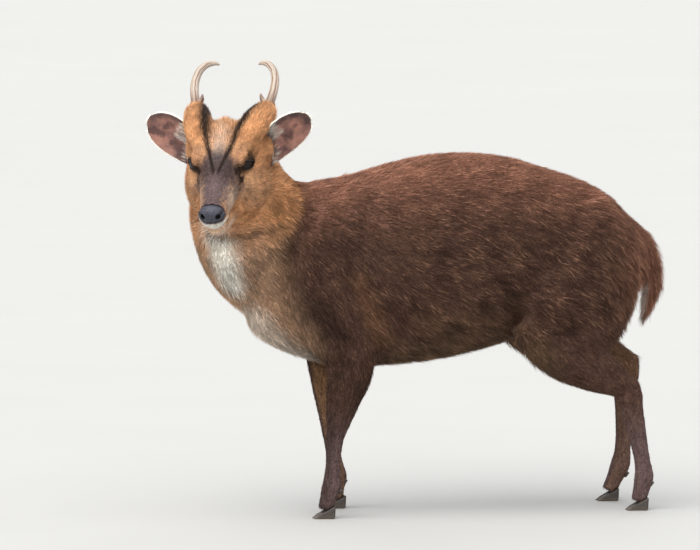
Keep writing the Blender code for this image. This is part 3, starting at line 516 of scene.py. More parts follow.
# The black slits of the brow run down in a V from the inner side of each pedicle: forward, aside, half width.
BROW_SLIT = (
    (-0.11, 0.035, 0.011),
    (-0.08, 0.032, 0.0115),
    (-0.05, 0.0285, 0.01),
    (-0.014, 0.021, 0.0062),
    (0.01, 0.0125, 0.005),
    (0.026, 0.0074, 0.0046),
    (0.036, 0.0042, 0.0042),
    (0.048, 0.0026, 0.0034),
)
# The mouth's line seen from the side, from the nose to its corner: forward, up.
MOUTH_LINE = ((0.102, -0.044), (0.08, -0.043), (0.062, -0.04), (0.05, -0.0385))
# The dark mask of the face, from between the slits over the bridge to the nose: forward, half width.
MASK = (
    (-0.014, 0.006),
    (0.0, 0.016),
    (0.012, 0.03),
    (0.03, 0.034),
    (0.042, 0.031),
    (0.055, 0.0235),
    (0.075, 0.018),
    (0.104, 0.0165),
)
SLIT_DEPTH = 0.0009
MOUTH_DEPTH = 0.0012
MOUTH_HALF = 0.0028
EYE_ROOM = (0.021, 0.021, 0.018)  # the coat is thinnest this near an eye
EYE_THINNING = 0.75
slit = np.array(BROW_SLIT)
mask = np.array(MASK)
mouth = np.array(sorted(MOUTH_LINE))


def slit_share(face):
    """1 on the line of a brow slit, 0 away from it."""
    middle = np.interp(face[:, 0], slit[:, 0], slit[:, 1])
    half = np.interp(face[:, 0], slit[:, 0], slit[:, 2])
    across = np.abs(np.abs(face[:, 1]) - middle) / half
    upper = ease(face[:, 2], -0.004, 0.006) * (1 - ease(face[:, 0], 0.036, 0.052))
    return (1 - ease(across, 0.15, 1.4)) * upper


def mouth_share(face, half):
    """1 on the line between the lips, 0 away from it by half or more."""
    line = np.interp(face[:, 0], mouth[:, 0], mouth[:, 1])
    there = ease(face[:, 0], 0.046, 0.054) * (1 - ease(face[:, 0], 0.1, 0.106))
    return (1 - ease(np.abs(face[:, 2] - line), 0.0, half)) * there


def tipped(near, dip):
    """Offsets turned about the sideways axis by a dip in degrees."""
    turn = math.radians(dip)
    along = near[:, 0] * math.cos(turn) - near[:, 2] * math.sin(turn)
    above = near[:, 0] * math.sin(turn) + near[:, 2] * math.cos(turn)
    return np.stack([along, near[:, 1], above], 1)


def pressed(face):
    """How far the face's relief moves the skin outwards."""
    slits = SLIT_DEPTH * slit_share(face) * ease(face[:, 0], -0.05, -0.01)
    moved = -slits - MOUTH_DEPTH * mouth_share(face, MOUTH_HALF)
    for middle, reach, out, dip in RELIEF.values():
        for side in (1, -1):
            patch = tipped(face - (middle[0], middle[1] * side, middle[2]), dip)
            moved += out * MILLIMETRE * blob(patch, (0, 0, 0), reach)
    return moved


skin_places = corners_of(skin_mesh)
face = in_head(skin_places)
coat_depth = in_lots(coat_lie, skin_places)[1]
eyes_near = np.maximum(*(blob(face, mirrored(EYE_PLACE, side), EYE_ROOM) for side in (1, -1)))
coat_depth = coat_depth * (1 - EYE_THINNING * eyes_near)
on_head = blob(face, (0.03, 0, -0.02), (0.16, 0.1, 0.1))
moved = (pressed(face) * on_head - coat_depth)[:, None] * normals_of(skin_mesh)
put_corners(skin_mesh, skin_places + moved)

# The markings, which skin and coat share: soft patches of ginger, cream, black and grey over a chestnut coat.
# On the body they lie between named levels, and on the head in the head's frame.
# Some of these shares are painted light: shadows among the black, a sheen in the rufous and bounce light in
# the fawn.
COLLAR = (
    # z, and the x of the edge where the ginger neck meets the chestnut shoulder
    (0.25, -0.142),
    (0.282, -0.16),
    (0.316, -0.18),
    (0.352, -0.194),
    (0.388, -0.198),
    (0.43, -0.186),
    (0.47, -0.172),
    (0.51, -0.162),
)
THROAT = (np.array((-0.284, -0.031, 0.402)), np.array((-0.263, -0.01, 0.334)))
BREAST = (np.array((-0.224, 0.01, 0.276)), np.array((-0.165, 0.022, 0.24)))
ELBOW_STREAK = (np.array((-0.086, 0.088, 0.333)), np.array((-0.053, 0.078, 0.252)))
# The flank fold is a line of painted shadow where the flank meets the thigh.
FLANK_FOLD_SHADOW = (np.array((0.118, 0.1, 0.335)), np.array((0.142, 0.085, 0.25)))
HEAD_PATCHES = {
    # patch: strength, middle and reach, forward, aside and up, on both sides of the head
    "cheek_front": (0.25, (0.03, 0.036, -0.03), (0.03, 0.02, 0.03)),
    # the cheek's cream is painted light, lifting the cheek where it lies in shade
    "cheek": (0.08, (0.012, 0.048, -0.042), (0.045, 0.04, 0.036)),
    "lip_corner": (0.32, (0.062, 0.024, -0.022), (0.026, 0.016, 0.018)),
    "forelock": (0.34, (-0.01, 0.0, 0.03), (0.034, 0.016, 0.026)),
    # the eye's black is the dark bare skin round it, and partly painted shade round its rear corner
    "eye": (1.0, (0.009, 0.0385, 0.003), (0.024, 0.028, 0.0135)),
    "tear": (0.9, (0.025, 0.0325, 0.003), (0.012, 0.014, 0.0105)),
    "gland": (0.85, (0.0275, 0.032, -0.0095), (0.0085, 0.013, 0.011)),
    # a painted sheen down the nose ridge, which lightens the dark mask there
    "nose_ridge_sheen": (0.26, (0.056, 0, 0), (0.03, 0.009, 0.024)),
    "pedicle": (1.0, (-0.098, 0.046, 0.036), (0.03, 0.03, 0.02)),
    "under_eye": (0.42, (0.036, 0.03, -0.012), (0.02, 0.015, 0.014)),
    "muzzle_side": (0.5, (0.074, 0.02, -0.018), (0.024, 0.016, 0.016)),
    "brow": (0.45, (0.004, 0.03, 0.018), (0.016, 0.014, 0.012)),
}
BODY_SHADOWS = {
    # shadow: strength, middle and reach, x, aside and z, and dip in degrees
    "arm": (0.66, (-0.138, 0.092, 0.285), (0.066, 0.07, 0.032), 52),
    "shoulder": (0.22, (-0.118, 0.095, 0.372), (0.05, 0.06, 0.05), 0),
    "stifle": (0.4, (0.185, 0.11, 0.275), (0.06, 0.06, 0.024), 25),
    "thigh": (0.6, (0.225, 0.107, 0.3), (0.016, 0.04, 0.01), 20),
    "thigh_back": (0.6, (0.262, 0.105, 0.296), (0.014, 0.04, 0.012), 20),
    "buttock": (0.5, (0.285, 0.095, 0.365), (0.012, 0.04, 0.022), 10),
    "brisket": (0.35, (-0.15, 0.06, 0.243), (0.03, 0.04, 0.01), 0),
}
MARK_DRIFT = 0.002  # how far the edges of the markings wander
collar = np.array(COLLAR)


def line_away(points, start, end):
    """How far each point is from a straight line between two places."""
    along = end - start
    share = np.clip((points - start) @ along / (along @ along), 0, 1)
    return np.linalg.norm(points - (start + share[:, None] * along), axis=1)


def haze(points, middle, reach):
    """1 at the middle of a patch with three reaches, fading away with no edge."""
    return np.exp(-1.4 * (((points - np.array(middle)) / np.array(reach)) ** 2).sum(1))


def drift(points, wavelength, seed):
    """A smooth random level at each point, mostly between -1 and 1, that changes over a wavelength."""
    rng = np.random.default_rng(seed)
    total = np.zeros(len(points))
    for _ in range(10):
        wave = rng.normal(0, 1, 3)
        wave *= 2 * math.pi / wavelength / np.linalg.norm(wave) * rng.uniform(0.6, 1.6)
        total += np.sin(points @ wave + rng.uniform(0, 2 * math.pi))
    return total * 0.27


def most(*shares):
    """The largest of some shares at each point."""
    return np.maximum.reduce(shares)


def markings(points, ways):
    """Shares of ginger, cream, black and painted shadow, grey, rufous and sheen, and fawn and bounce light,
    at points of the coat with their outward ways.
    """
    wander = np.stack([drift(points, 0.009, seed) for seed in (31, 32, 33)], 1)
    still = in_head(points)
    points = points + MARK_DRIFT * wander
    x, aside, z = points[:, 0], points[:, 1] - MIDPLANE, points[:, 2]
    body = np.stack([x, np.abs(aside), z], 1)
    face = in_head(points)
    forward, cheek, up = face[:, 0], np.abs(face[:, 1]), face[:, 2]
    half = np.stack([forward, cheek, up], 1)
    patch = {name: share * haze(half, *spot) for name, (share, *spot) in HEAD_PATCHES.items()}
    from_middle = np.linalg.norm(face - (0, 0, -0.02), axis=1)
    on_head = ease(forward, -0.105, -0.085) * (1 - ease(from_middle, 0.115, 0.135))
    on_crown = ease(up, -0.03, 0.0) * (1 - ease(np.linalg.norm(face, axis=1), 0.13, 0.15))
    on_head = np.maximum(on_head, on_crown)
    leg = 1 - ease(z, 0.195, 0.245)
    fore = x < 0.1
    outward = ways[:, 1] * np.sign(aside)
    inside_leg = ease(-outward, 0.1, 0.7) * leg
    neck = (1 - ease(x - np.interp(z, collar[:, 0], collar[:, 1]), -0.032, 0.026)) * (1 - leg)

    streak = 0.2 + 0.06 * drift(points, 0.03, 37)
    ginger = most(
        neck * (0.62 + 0.1 * ease(z, 0.42, 0.49)),
        on_head * (1 - patch["cheek_front"]),
        streak * (1 - ease(line_away(body, *ELBOW_STREAK), 0.003, 0.022)),
        np.where(fore, 0.28, 0.1) * (ease(-outward, 0.2, 0.8) * ease(0.26 - z, 0, 0.05)),
    )

    throat_away = line_away(points, *THROAT)
    breast = 0.6 * (1 - ease(line_away(points, *BREAST), 0.014, 0.056))
    throat = most(1 - ease(throat_away, 0.005, 0.039), breast)
    lips = 0.9 * ease(-still[:, 2], 0.0235, 0.0295) * ease(forward, 0.074, 0.092)
    under_tail = 0.55 * ease(-ways[:, 0], 0.8, 1.0) * ease(x, 0.325, 0.335)
    cream = most(
        throat * (1 - on_head * ease(up, -0.112, -0.104)),
        0.52 * (1 - ease(up, -0.058, -0.043)) * ease(forward, 0.042, 0.076) * on_head,
        0.75 * haze(face, (0.026, -0.02, -0.101), (0.026, 0.024, 0.01)),
        lips * ease(up, -0.052, -0.041) * on_head,
        patch["lip_corner"],
        patch["forelock"],
        patch["cheek"] * on_head,
        0.7 * haze(body, (0.205, 0, 0.25), (0.06, 0.045, 0.04)),
        under_tail * (1 - ease(z, 0.39, 0.41)),
        # a paler lower neck, painted light where the head's shadow falls on it
        0.15 * neck * (1 - ease(z, 0.38, 0.44)),
    )

    wavy = cheek / np.interp(forward, mask[:, 0], mask[:, 1]) + 0.1 * drift(points, 0.007, 41)
    masked = (1 - ease(wavy, 0.5, 1.38)) * ease(forward - 0.4 * cheek, -0.01, 0.017)
    masked *= ease(up, -0.04, -0.022) * on_head
    # The mask's darkness, less a painted sheen along the nose ridge.
    mask_dark_less_sheen = 0.30 + 0.34 * (1 - ease(forward, 0.034, 0.060)) - patch["nose_ridge_sheen"]
    mask_dark_less_sheen += 0.1 * drift(points, 0.005, 42)
    # A painted shadow in a band under the jaw.
    jowl_shadow = 0.62 * (1 - ease(np.abs(up + 0.108), 0.0, 0.009)) * ease(forward, -0.02, 0.01)
    outer = ease(outward, -0.2, 0.5) * (1 - ease(z, 0.2, 0.27))
    # Black marks of the coat, together with painted shadows: under the jaw, in the flank's fold, and the
    # body's shadows.
    black_and_shadow = most(
        slit_share(still) * on_head,
        np.clip(2.10 * most(patch["eye"], patch["tear"], patch["gland"]) - 0.30, 0, 0.97),
        masked * mask_dark_less_sheen,
        0.55 * (ease(drift(points, 0.0050, 43), 0.25, 0.9) * patch["pedicle"]),
        0.8 * mouth_share(still, 0.0022) * on_head,
        jowl_shadow * (face[:, 1] > -0.03) * (1 - ease(forward, 0.045, 0.06)),
        0.45 * (1 - ease(line_away(body, *FLANK_FOLD_SHADOW), 0.002, 0.018)),
        0.48 * (ease(-ways[:, 0], -0.1, 0.7) * (1 - ease(z, 0.22, 0.27)) * fore),
        0.42 * outer * (0.5 + 0.5 * fore) * ease(z, 0.1, 0.17),
        0.3 * neck * ease(z, 0.38, 0.44) * (1 - on_head),
        *(
            share * haze(tipped(body - np.array(middle), dip), (0, 0, 0), reach)
            for share, middle, reach, dip in BODY_SHADOWS.values()
        ),
    )
    black_and_shadow *= 1 - np.where(fore, 0.75, 0.3) * inside_leg

    grey = most(masked, patch["brow"], patch["under_eye"], patch["muzzle_side"]) * on_head
    grey = most(grey, 0.75 * leg * (1 - ease(z, 0.08, 0.18)))
    grey *= 1 - 0.5 * inside_leg
    grey *= 1 - 0.75 * (1 - ease(throat_away, 0.02, 0.05))

    # Rufous, a redder and paler coat, is partly painted light: it is laid where the coat faces up on the back
    # and upper flank, and as a sheen on the rump.
    rufous_and_sheen = most(
        ease(ways[:, 2], -0.05, 0.95) * ease(z, 0.34, 0.46),
        0.7 * ease(x, 0.25, 0.33) * ease(z, 0.22, 0.34),
        0.95 * ease(x, 0.322, 0.345) * ease(z, 0.2, 0.26),
    )
    # The fawn of the belly and low flank is partly the coat's own paler colour and partly painted bounce
    # light from the ground below.
    belly = (1 - ease(z, 0.205, 0.28)) * ease(x, -0.06, -0.02) * (1 - ease(x, 0.16, 0.22))
    fawn_and_bounce = most(
        0.75 * belly,
        0.35 * ease(0.33 - z, 0, 0.08) * ease(x, -0.03, 0.02) * (1 - ease(x, 0.13, 0.18)),
        neck * (0.8 - 0.45 * ease(z, 0.42, 0.5)),
        np.where(fore, 0.6, 0.3) * inside_leg,
    )
    return np.stack([ginger, cream, black_and_shadow, grey, rufous_and_sheen, fawn_and_bounce], 1)


def write_rows(mesh, name, rows):
    """Four levels at each corner of a mesh, as an attribute that its finish reads."""
    levels = mesh.attributes.new(name, "FLOAT_COLOR", "POINT")
    levels.data.foreach_set("color", np.ascontiguousarray(rows, np.float32).ravel())


def write_marks(mesh, marks, along, shade):
    """The markings of a mesh's corners, with how far along a tuft each is and how light the tuft."""
    write_rows(mesh, "marks", marks[:, :4])
    write_rows(mesh, "tuft", np.stack([along, shade, marks[:, 4], marks[:, 5]], 1))


# The rufous tone also serves as painted sheen, the fawn as painted bounce light, and the black as painted
# shadow.
CHESTNUT = tone(111, 81, 68)
RUFOUS_AND_SHEEN_TONE = tone(172, 121, 99)
FAWN_AND_BOUNCE_TONE = tone(136, 110, 82)
GINGER = tone(238, 176, 124)
CREAM = tone(250, 245, 234)
BLACK_AND_SHADOW_TONE = tone(43, 31, 27)
GREY = tone(120, 100, 100)
GINGER_DARK = tone(192, 138, 96)
TIP = tone(196, 150, 118)
CREAM_TIP = tone(245, 240, 228)


def coat_colour(finish):
    """The coat's colour from its markings, dark at the roots and paler at some tips."""
    ginger, cream, black_and_shadow, grey = finish.attribute("marks")
    along, shade, rufous_and_sheen, fawn_and_bounce = finish.attribute("tuft")
    mottle = finish.within(finish.grain(55.0, 3.0), 0.35, 0.7)
    colour = finish.mix(rufous_and_sheen, CHESTNUT, RUFOUS_AND_SHEEN_TONE)
    colour = finish.mix(fawn_and_bounce, colour, FAWN_AND_BOUNCE_TONE)
    for share, paint in (
        (ginger, finish.mix(mottle, GINGER, GINGER_DARK)), (grey, GREY), (cream, CREAM), (black_and_shadow, BLACK_AND_SHADOW_TONE),
    ):
        colour = finish.mix(share, colour, paint)
    ticks = finish.within(finish.grain(360.0, 2.0), 0.34, 0.66)
    pale_tip = finish.within(shade, 0.45, 0.95) * finish.within(along, 0.35, 0.9) * (1 - black_and_shadow) * 0.45
    colour = finish.mix(pale_tip, colour, finish.mix(cream, TIP, CREAM_TIP))
    from_root = 0.46 + finish.within(along, 0.0, 0.8) * 0.62
    own = 0.4 + shade * 0.98 + mottle * 0.1
    ticked = 0.78 + ginger * 0.12 + ticks * (0.44 - ginger * 0.24)
    light = from_root * own * ticked * (1 + cream * 0.24 + ginger * 0.1)
    return finish.node("ShaderNodeVectorMath", {"operation": "SCALE"}, {0: colour, "Scale": light})


skin_finish = Finish("skin", roughness=0.8, specular=0.1)
skin_finish.paint(coat_colour(skin_finish))
skin_finish.bump(skin_finish.grain(900.0, 3.0), 0.0008, 0.8)
skin_places = corners_of(skin_mesh)
skin_ways = normals_of(skin_mesh)
rng = np.random.default_rng(7)
skin_along = np.full(len(skin_places), 0.3)
skin_shades = rng.uniform(0.2, 0.8, len(skin_places))
write_marks(skin_mesh, markings(skin_places, skin_ways), skin_along, skin_shades)
shown("skin", skin_mesh, skin_finish, "coat", *FLESH)

# The coat: thin tapered tufts rooted in the skin and lying its way, in a piece for each part of the animal.
# Some bend and the rest are straight. Each tuft's patch of the map called OFBake is at its root's place on
# the unrolled skin of that part.
TUFT_PATCH = 0.003
ROOT_SINK = 0.0006
CLUMP_SIZE = 0.011  # how far apart the coat's clumps lie
CLUMP_SWAY = 0.19
CLUMPED_LENGTH = 0.015  # shorter hair clumps less
STREAK = 0.7  # how far the shared streaks are drawn out along the hair
BODY_HEIGHT = 0.35
SECTION = ((-1.0, -0.25), (1.0, -0.25), (0.0, 0.55))  # a tuft's three edges, aside and above, in half widths
ROOT_WIDTH = 0.8
LENGTHS = (0.7, 1.18)
LIFTS = (0.55, 1.45)
BENT_FACES = np.array(
    [
        (0, 2, 1), (0, 1, 4), (0, 4, 3), (1, 2, 5), (1, 5, 4),
        (2, 0, 3), (2, 3, 5), (3, 4, 6), (4, 5, 6), (5, 3, 6),
    ]
)
STRAIGHT_FACES = np.array([(0, 2, 1), (0, 1, 3), (1, 2, 3), (2, 0, 3)])
TUFT_KINDS = {
    # corners: faces, how far along the tuft each corner is, and its place in the tuft's patch
    7: (
        BENT_FACES,
        np.array([0, 0, 0, 0.5, 0.5, 0.5, 1.0]),
        np.array([(0, 0), (1, 0), (0.5, 0), (0, 0.5), (1, 0.5), (0.5, 0.5), (0.5, 1)]),
    ),
    4: (STRAIGHT_FACES, np.array([0, 0, 0, 1.0]), np.array([(0, 0), (1, 0), (0.5, 0), (0.5, 1)])),
}


def tufts(roots, outs, ways, length, width, lift, rng, bent=True, sway=0.13, curve=0.55):
    """Corners of closed three-sided tufts: seven to a bent tuft, and four to a straight one."""
    count = len(roots)
    ways = ways - (ways * outs).sum(1, keepdims=True) * outs
    ways /= np.linalg.norm(ways, axis=1, keepdims=True) + TINY
    across = np.cross(outs, ways)
    clumps = drift(roots, CLUMP_SIZE, 11) + 0.8 * drift(roots, 3.5 * CLUMP_SIZE, 12)
    clumped = CLUMP_SWAY * clumps * np.clip(length / CLUMPED_LENGTH, 0.25, 1)
    turn = rng.normal(0, sway, count) + clumped
    ways = ways * np.cos(turn)[:, None] + across * np.sin(turn)[:, None]
    across = np.cross(outs, ways)
    lift = lift * rng.uniform(*LIFTS, count)
    length = length * rng.uniform(*LENGTHS, count)
    low = ways * np.cos(lift)[:, None] + outs * np.sin(lift)[:, None]
    high = ways * np.cos(lift * curve)[:, None] + outs * np.sin(lift * curve)[:, None]
    base = roots - outs * ROOT_SINK
    half = (width / 2)[:, None]
    corners = np.empty((count, 7 if bent else 4, 3))
    middle = base + low * (length * 0.5)[:, None]
    for i, (aside, above) in enumerate(SECTION):
        corners[:, i] = base + across * half * aside * ROOT_WIDTH + outs * half * above
        if bent:
            corners[:, 3 + i] = middle + across * half * aside + outs * half * above
    corners[:, -1] = (middle + high * (length * 0.5)[:, None]) if bent else base + low * length[:, None]
    return corners


def alike(count, length, width, lift):
    """Lengths and widths, from millimetres, and lifts, from degrees, of a count of tufts of one size."""
    ones = np.ones(count)
    return length * MILLIMETRE * ones, width * MILLIMETRE * ones, math.radians(lift) * ones


def tuft_mesh(name, batches):
    """Tufts as one mesh. Each batch gives their corners, markings, shades and places on the unrolled skin."""
    places, faces, marks, along, shade, patches = [], [], [], [], [], []
    base = 0
    for corners, rows, shades, unrolled in batches:
        count, per = corners.shape[:2]
        pattern, levels, spread = TUFT_KINDS[per]
        places.append(corners.reshape(-1, 3))
        faces.append((pattern[None] + (np.arange(count) * per)[:, None, None]).reshape(-1, 3) + base)
        marks.append(np.repeat(rows, per, 0))
        along.append(np.tile(levels, count))
        shade.append(np.repeat(shades, per))
        spots = (unrolled * (1 - 2 * TUFT_PATCH) + TUFT_PATCH)[:, None, :] + spread[None] * TUFT_PATCH
        patches.append(spots.reshape(-1, 2))
        base += count * per
    places, faces, patches = np.concatenate(places), np.concatenate(faces), np.concatenate(patches)
    mesh = bpy.data.meshes.new(name)
    mesh.vertices.add(len(places))
    mesh.vertices.foreach_set("co", places.astype(np.float32).ravel())
    mesh.loops.add(faces.size)
    mesh.loops.foreach_set("vertex_index", faces.astype(np.int32).ravel())
    mesh.polygons.add(len(faces))
    mesh.polygons.foreach_set("loop_start", np.arange(0, faces.size, 3, dtype=np.int32))
    mesh.update(calc_edges=True)
    write_marks(mesh, np.concatenate(marks), np.concatenate(along), np.concatenate(shade))
    layer = mesh.uv_layers.new(name="OFBake")
    layer.uv.foreach_set("vector", patches[faces.ravel()].astype(np.float32).ravel())
    return mesh


def shades_of(points, ways, rng):
    """How light each tuft is, 0 to 1: partly its own, and partly shared with a streak of its neighbours."""
    off = points - (0.0, MIDPLANE, BODY_HEIGHT)
    drawn_out = off - STREAK * (off * ways).sum(1, keepdims=True) * ways
    shared = 0.17 * drift(drawn_out, 0.0045, 23) + 0.16 * drift(drawn_out, 0.014, 24)
    shared += 0.13 * drift(points, 0.045, 25)
    return np.clip(rng.uniform(0.14, 0.86, len(points)) + shared, 0, 1)


skin_mesh.calc_loop_triangles()
triangles = np.empty(len(skin_mesh.loop_triangles) * 3, np.int32)
skin_mesh.loop_triangles.foreach_get("vertices", triangles)
triangles = triangles.reshape(-1, 3)
skin_corners = skin_places[triangles]
skin_middles = skin_corners.mean(1)
skin_edges = skin_corners[:, 1:] - skin_corners[:, :1]
skin_areas = np.linalg.norm(np.cross(skin_edges[:, 0], skin_edges[:, 1]), axis=1) / 2

near_names, near_corners, near_faces = [], [], []
for node in FLESH:
    base = len(near_corners)
    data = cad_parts[node].data
    near_corners += [tuple(v.co) for v in data.vertices]
    near_faces += [tuple(base + i for i in p.vertices) for p in data.polygons]
    near_names += [node] * len(data.polygons)
near_tree = BVHTree.FromPolygons(near_corners, near_faces)
owner = np.array([near_names[near_tree.find_nearest(Vector(place))[2]] for place in skin_middles])

FACE_NODES = ("head", "lower_jaw", "pedicle_left", "pedicle_right")
PARTS = {
    # piece: the nodes it covers, the side it keeps, and how many bent and straight tufts it has
    "coat_face_left": (FACE_NODES, "head_left", 2500, 40000),
    "coat_face_right": (FACE_NODES, "head_right", 2500, 40000),
    "coat_neck": (("neck",), "both", 3500, 36000),
    "coat_chest": (("chest",), "both", 3500, 38000),
    "coat_barrel": (("barrel",), "both", 3500, 39000),
    "coat_rump_left": (("rump", "tail"), "left", 3000, 30000),
    "coat_rump_right": (("rump", "tail"), "right", 3000, 30000),
    "coat_forelegs": (tuple(n for n in FLESH if n.startswith("fore")), "both", 1000, 20000),
    "coat_hind_legs": (tuple(n for n in FLESH if n.startswith(("shank", "hind"))), "both", 1000, 24000),
}
RUMP_AXIS = ((0.1, MIDPLANE, 0.37), (0.37, MIDPLANE, 0.36))
AXES = {
    # piece: where the axis it is unrolled about starts and ends
    "coat_neck": ((-0.26, -0.01, 0.52), (-0.12, 0.03, 0.3)),
    "coat_chest": ((-0.24, MIDPLANE, 0.34), (0.0, MIDPLANE, 0.35)),
    "coat_barrel": ((-0.03, MIDPLANE, 0.355), (0.14, MIDPLANE, 0.365)),
    "coat_rump_left": RUMP_AXIS,
    "coat_rump_right": RUMP_AXIS,
}
LEG_SLICES = 12
coat_finish = Finish("coat", roughness=0.62, specular=0.12)
coat_finish.paint(coat_colour(coat_finish))


def unroll(points, start, end):
    """The place of each point on the skin unrolled about an axis: round it, and along it."""
    start, end = np.array(start, float), np.array(end, float)
    way = (end - start) / np.linalg.norm(end - start)
    over = np.array((0.0, 0.0, 1.0)) - way[2] * way
    over /= np.linalg.norm(over)
    aside = np.cross(way, over)
    off = points - start
    round_it = (np.arctan2(off @ aside, off @ over) / (2 * math.pi)) % 1.0
    along = off @ way
    return np.stack([round_it, (along - along.min()) / np.ptp(along)], 1)


def unroll_part(name, points):
    """The place of each point of a part on that part's unrolled skin, 0 to 1 both ways."""
    if name in AXES:
        spots = unroll(points, *AXES[name])
        if name.endswith(("left", "right")):
            spots[:, 0] = (spots[:, 0] - spots[:, 0].min()) / np.ptp(spots[:, 0])
        return spots
    if name.startswith("coat_face"):
        face = in_head(points)
        turn = np.arctan2(np.abs(face[:, 1]), face[:, 2] + 0.03) / math.pi
        return np.stack([turn, (face[:, 0] - face[:, 0].min()) / np.ptp(face[:, 0])], 1)
    spots = np.zeros((len(points), 2))
    for i, leg in enumerate((points[:, 1] < MIDPLANE, points[:, 1] >= MIDPLANE)):
        x, y, z = points[leg].T
        heights = np.linspace(0, z.max(), LEG_SLICES)
        slices = [np.abs(z - height) < z.max() / (LEG_SLICES - 1) for height in heights]
        middles = np.array([(x[s].mean(), y[s].mean()) if s.any() else (x.mean(), y.mean()) for s in slices])
        turn = np.arctan2(y - np.interp(z, heights, middles[:, 1]), x - np.interp(z, heights, middles[:, 0]))
        spots[leg] = np.stack([(i + (turn / (2 * math.pi)) % 1.0) / 2, z / z.max()], 1)
    return spots


def side_of(points, side):
    """Which points lie on the side that a piece keeps."""
    if side == "both":
        return np.ones(len(points), bool)
    if side.startswith("head"):
        return in_head(points)[:, 1] * (1 if side == "head_left" else -1) > 0
    return (points[:, 1] - MIDPLANE) * (-1 if side == "left" else 1) > 0


EYE_CLEAR = (0.0125, 0.03, 0.008)  # no tuft grows this near an eye's middle
EYE_CLEAR_FORWARD = 0.003
CROWDING = 0.6  # how much closer the small tufts stand
STRAIGHT_WIDTH, STRAIGHT_LIFT, STRAIGHT_LENGTH = 0.85, 0.9, 0.84
ROOT_DRIFT = 0.002  # how far off a tuft's markings are read
for seed, (name, (nodes, side, bent_count, straight_count)) in enumerate(PARTS.items()):
    rng = np.random.default_rng(100 + seed)
    chosen = np.nonzero(np.isin(owner, nodes) & side_of(skin_middles, side))[0]
    _, _, long, wide, _ = in_lots(coat_lie, skin_middles[chosen])
    need = skin_areas[chosen] / (long * wide) ** CROWDING
    batches = []
    for bent, count in ((True, bent_count), (False, straight_count)):
        picks = chosen[rng.choice(len(chosen), count, p=need / need.sum())]
        share = rng.uniform(0, 1, (count, 2))
        share[:, 0] = np.sqrt(share[:, 0])
        shares = (1 - share[:, 0], share[:, 0] * (1 - share[:, 1]), share[:, 0] * share[:, 1])
        weights = np.stack(shares, 1)[:, :, None]
        roots = (skin_corners[picks] * weights).sum(1)
        outs = (skin_ways[triangles[picks]] * weights).sum(1)
        outs /= np.linalg.norm(outs, axis=1, keepdims=True)
        face = in_head(roots)
        clear = np.ones(count, bool)
        for eye_side in (1, -1):
            middle = (EYE_PLACE.x + EYE_CLEAR_FORWARD, EYE_PLACE.y * eye_side, EYE_PLACE.z)
            off = (face - middle) / EYE_CLEAR
            clear &= (off * off).sum(1) > 1
        roots, outs = roots[clear], outs[clear]
        ways, _, length, width, lift = in_lots(coat_lie, roots)
        if not bent:
            width, lift, length = width * STRAIGHT_WIDTH, lift * STRAIGHT_LIFT, length * STRAIGHT_LENGTH
        corners = tufts(roots, outs, ways, length, width, lift, rng, bent)
        marks = markings(roots + rng.normal(0, ROOT_DRIFT, roots.shape), outs)
        batches.append((corners, marks, shades_of(roots, ways, rng), unroll_part(name, roots)))
    shown(name, tuft_mesh(name, batches), coat_finish, "coat")

# The ears: leaves of thin skin, nearly bare and mottled inside, with fans of pale hair at the inner root,
# a fringe of white hair round the rim, and short fur over the back.
EAR_ROOT = Vector((-0.055, 0.04, -0.022))
EAR_TIP = Vector((-0.071, 0.115, 0.021))
EAR_FACING = {1: Vector((0.93, 0.3, 0.1)), -1: Vector((0.84, 0.16, 0.46))}
EAR_LENGTH = (EAR_TIP - EAR_ROOT).length
EAR_VOXEL = 0.0008
EAR_THINNED = 0.0004
EAR_SLICES = 36
EAR_HAIR = {
    # hair: how many, length and width in millimetres, lift in degrees, least shade, and marks
    "rim": (3400, 3.2, 0.46, 10, 0.6, (0.0, 1.0, 0.0, 0.0, 0.0, 0.0)),
    "dark_edge": (600, 2.6, 0.36, 6, 0.1, (0.2, 0.0, 0.55, 0.5, 0.0, 0.0)),
    "fan": (430, 11.0, 0.2, 12, 0.4, (0.08, 0.72, 0.0, 0.3, 0.0, 0.0)),
    "inner_down": (1300, 3.4, 0.24, 8, 0.1, (0.5, 0.18, 0.0, 0.35, 0.0, 0.0)),
    "back": (4200, 4.2, 0.5, 10, 0.1, (0.62, 0.05, 0.12, 0.45, 0.3, 0.0)),
}
MOST_BENT = 500  # hairs of a kind that are this few bend
ear_finish = Finish("ear_skin", roughness=0.6, sheen=0.15, specular=0.3)
leaf_along, leaf_height, leaf_inside, _ = ear_finish.attribute("leaf")
blotch = ear_finish.within(ear_finish.grain(70.0, 5.0), 0.3, 0.72)
ear_inside = ear_finish.mix(blotch, tone(170, 121, 105), tone(116, 82, 76))
for darkening, strength, stain_and_shade_tone in (
    # where the inside is darker: in blotches, at the upper edge, at the tip, and at the root, where it is
    # painted shade deep in the cup
    (ear_finish.within(ear_finish.grain(60.0, 6.0), 0.46, 0.62), 0.8, tone(70, 46, 46)),
    (ear_finish.within(leaf_height, 0.7, 0.98), 0.75, tone(58, 46, 48)),
    (ear_finish.within(leaf_along, 0.78, 0.98), 0.55, tone(64, 50, 50)),
    (ear_finish.within(0.42 - leaf_along, 0.0, 0.34), 0.6, tone(66, 42, 34)),
):
    ear_inside = ear_finish.mix(darkening * strength, ear_inside, stain_and_shade_tone)
ear_back = ear_finish.mix(ear_finish.grain(90.0), tone(128, 92, 66), tone(96, 74, 60))
ear_skin = ear_finish.mix(ear_finish.within(leaf_inside, 0.35, 0.65), ear_back, ear_inside)
ear_finish.paint(ear_skin)
ear_finish.bump(ear_finish.grain(420.0, 3.0), 0.0006, 0.7)


def ear_axes(side):
    """The root of an ear and its ways in the head's frame: to its tip, up across it, and out of its cup."""
    root = mirrored(EAR_ROOT, side)
    way = (mirrored(EAR_TIP, side) - root).normalized()
    look = mirrored(EAR_FACING[side], side)
    facing = (look - look.dot(way) * way).normalized()
    across = facing.cross(way)
    if (head_turn @ across).z < 0:
        across.negate()
    return [np.array(axis) for axis in (root, way, across, facing)]


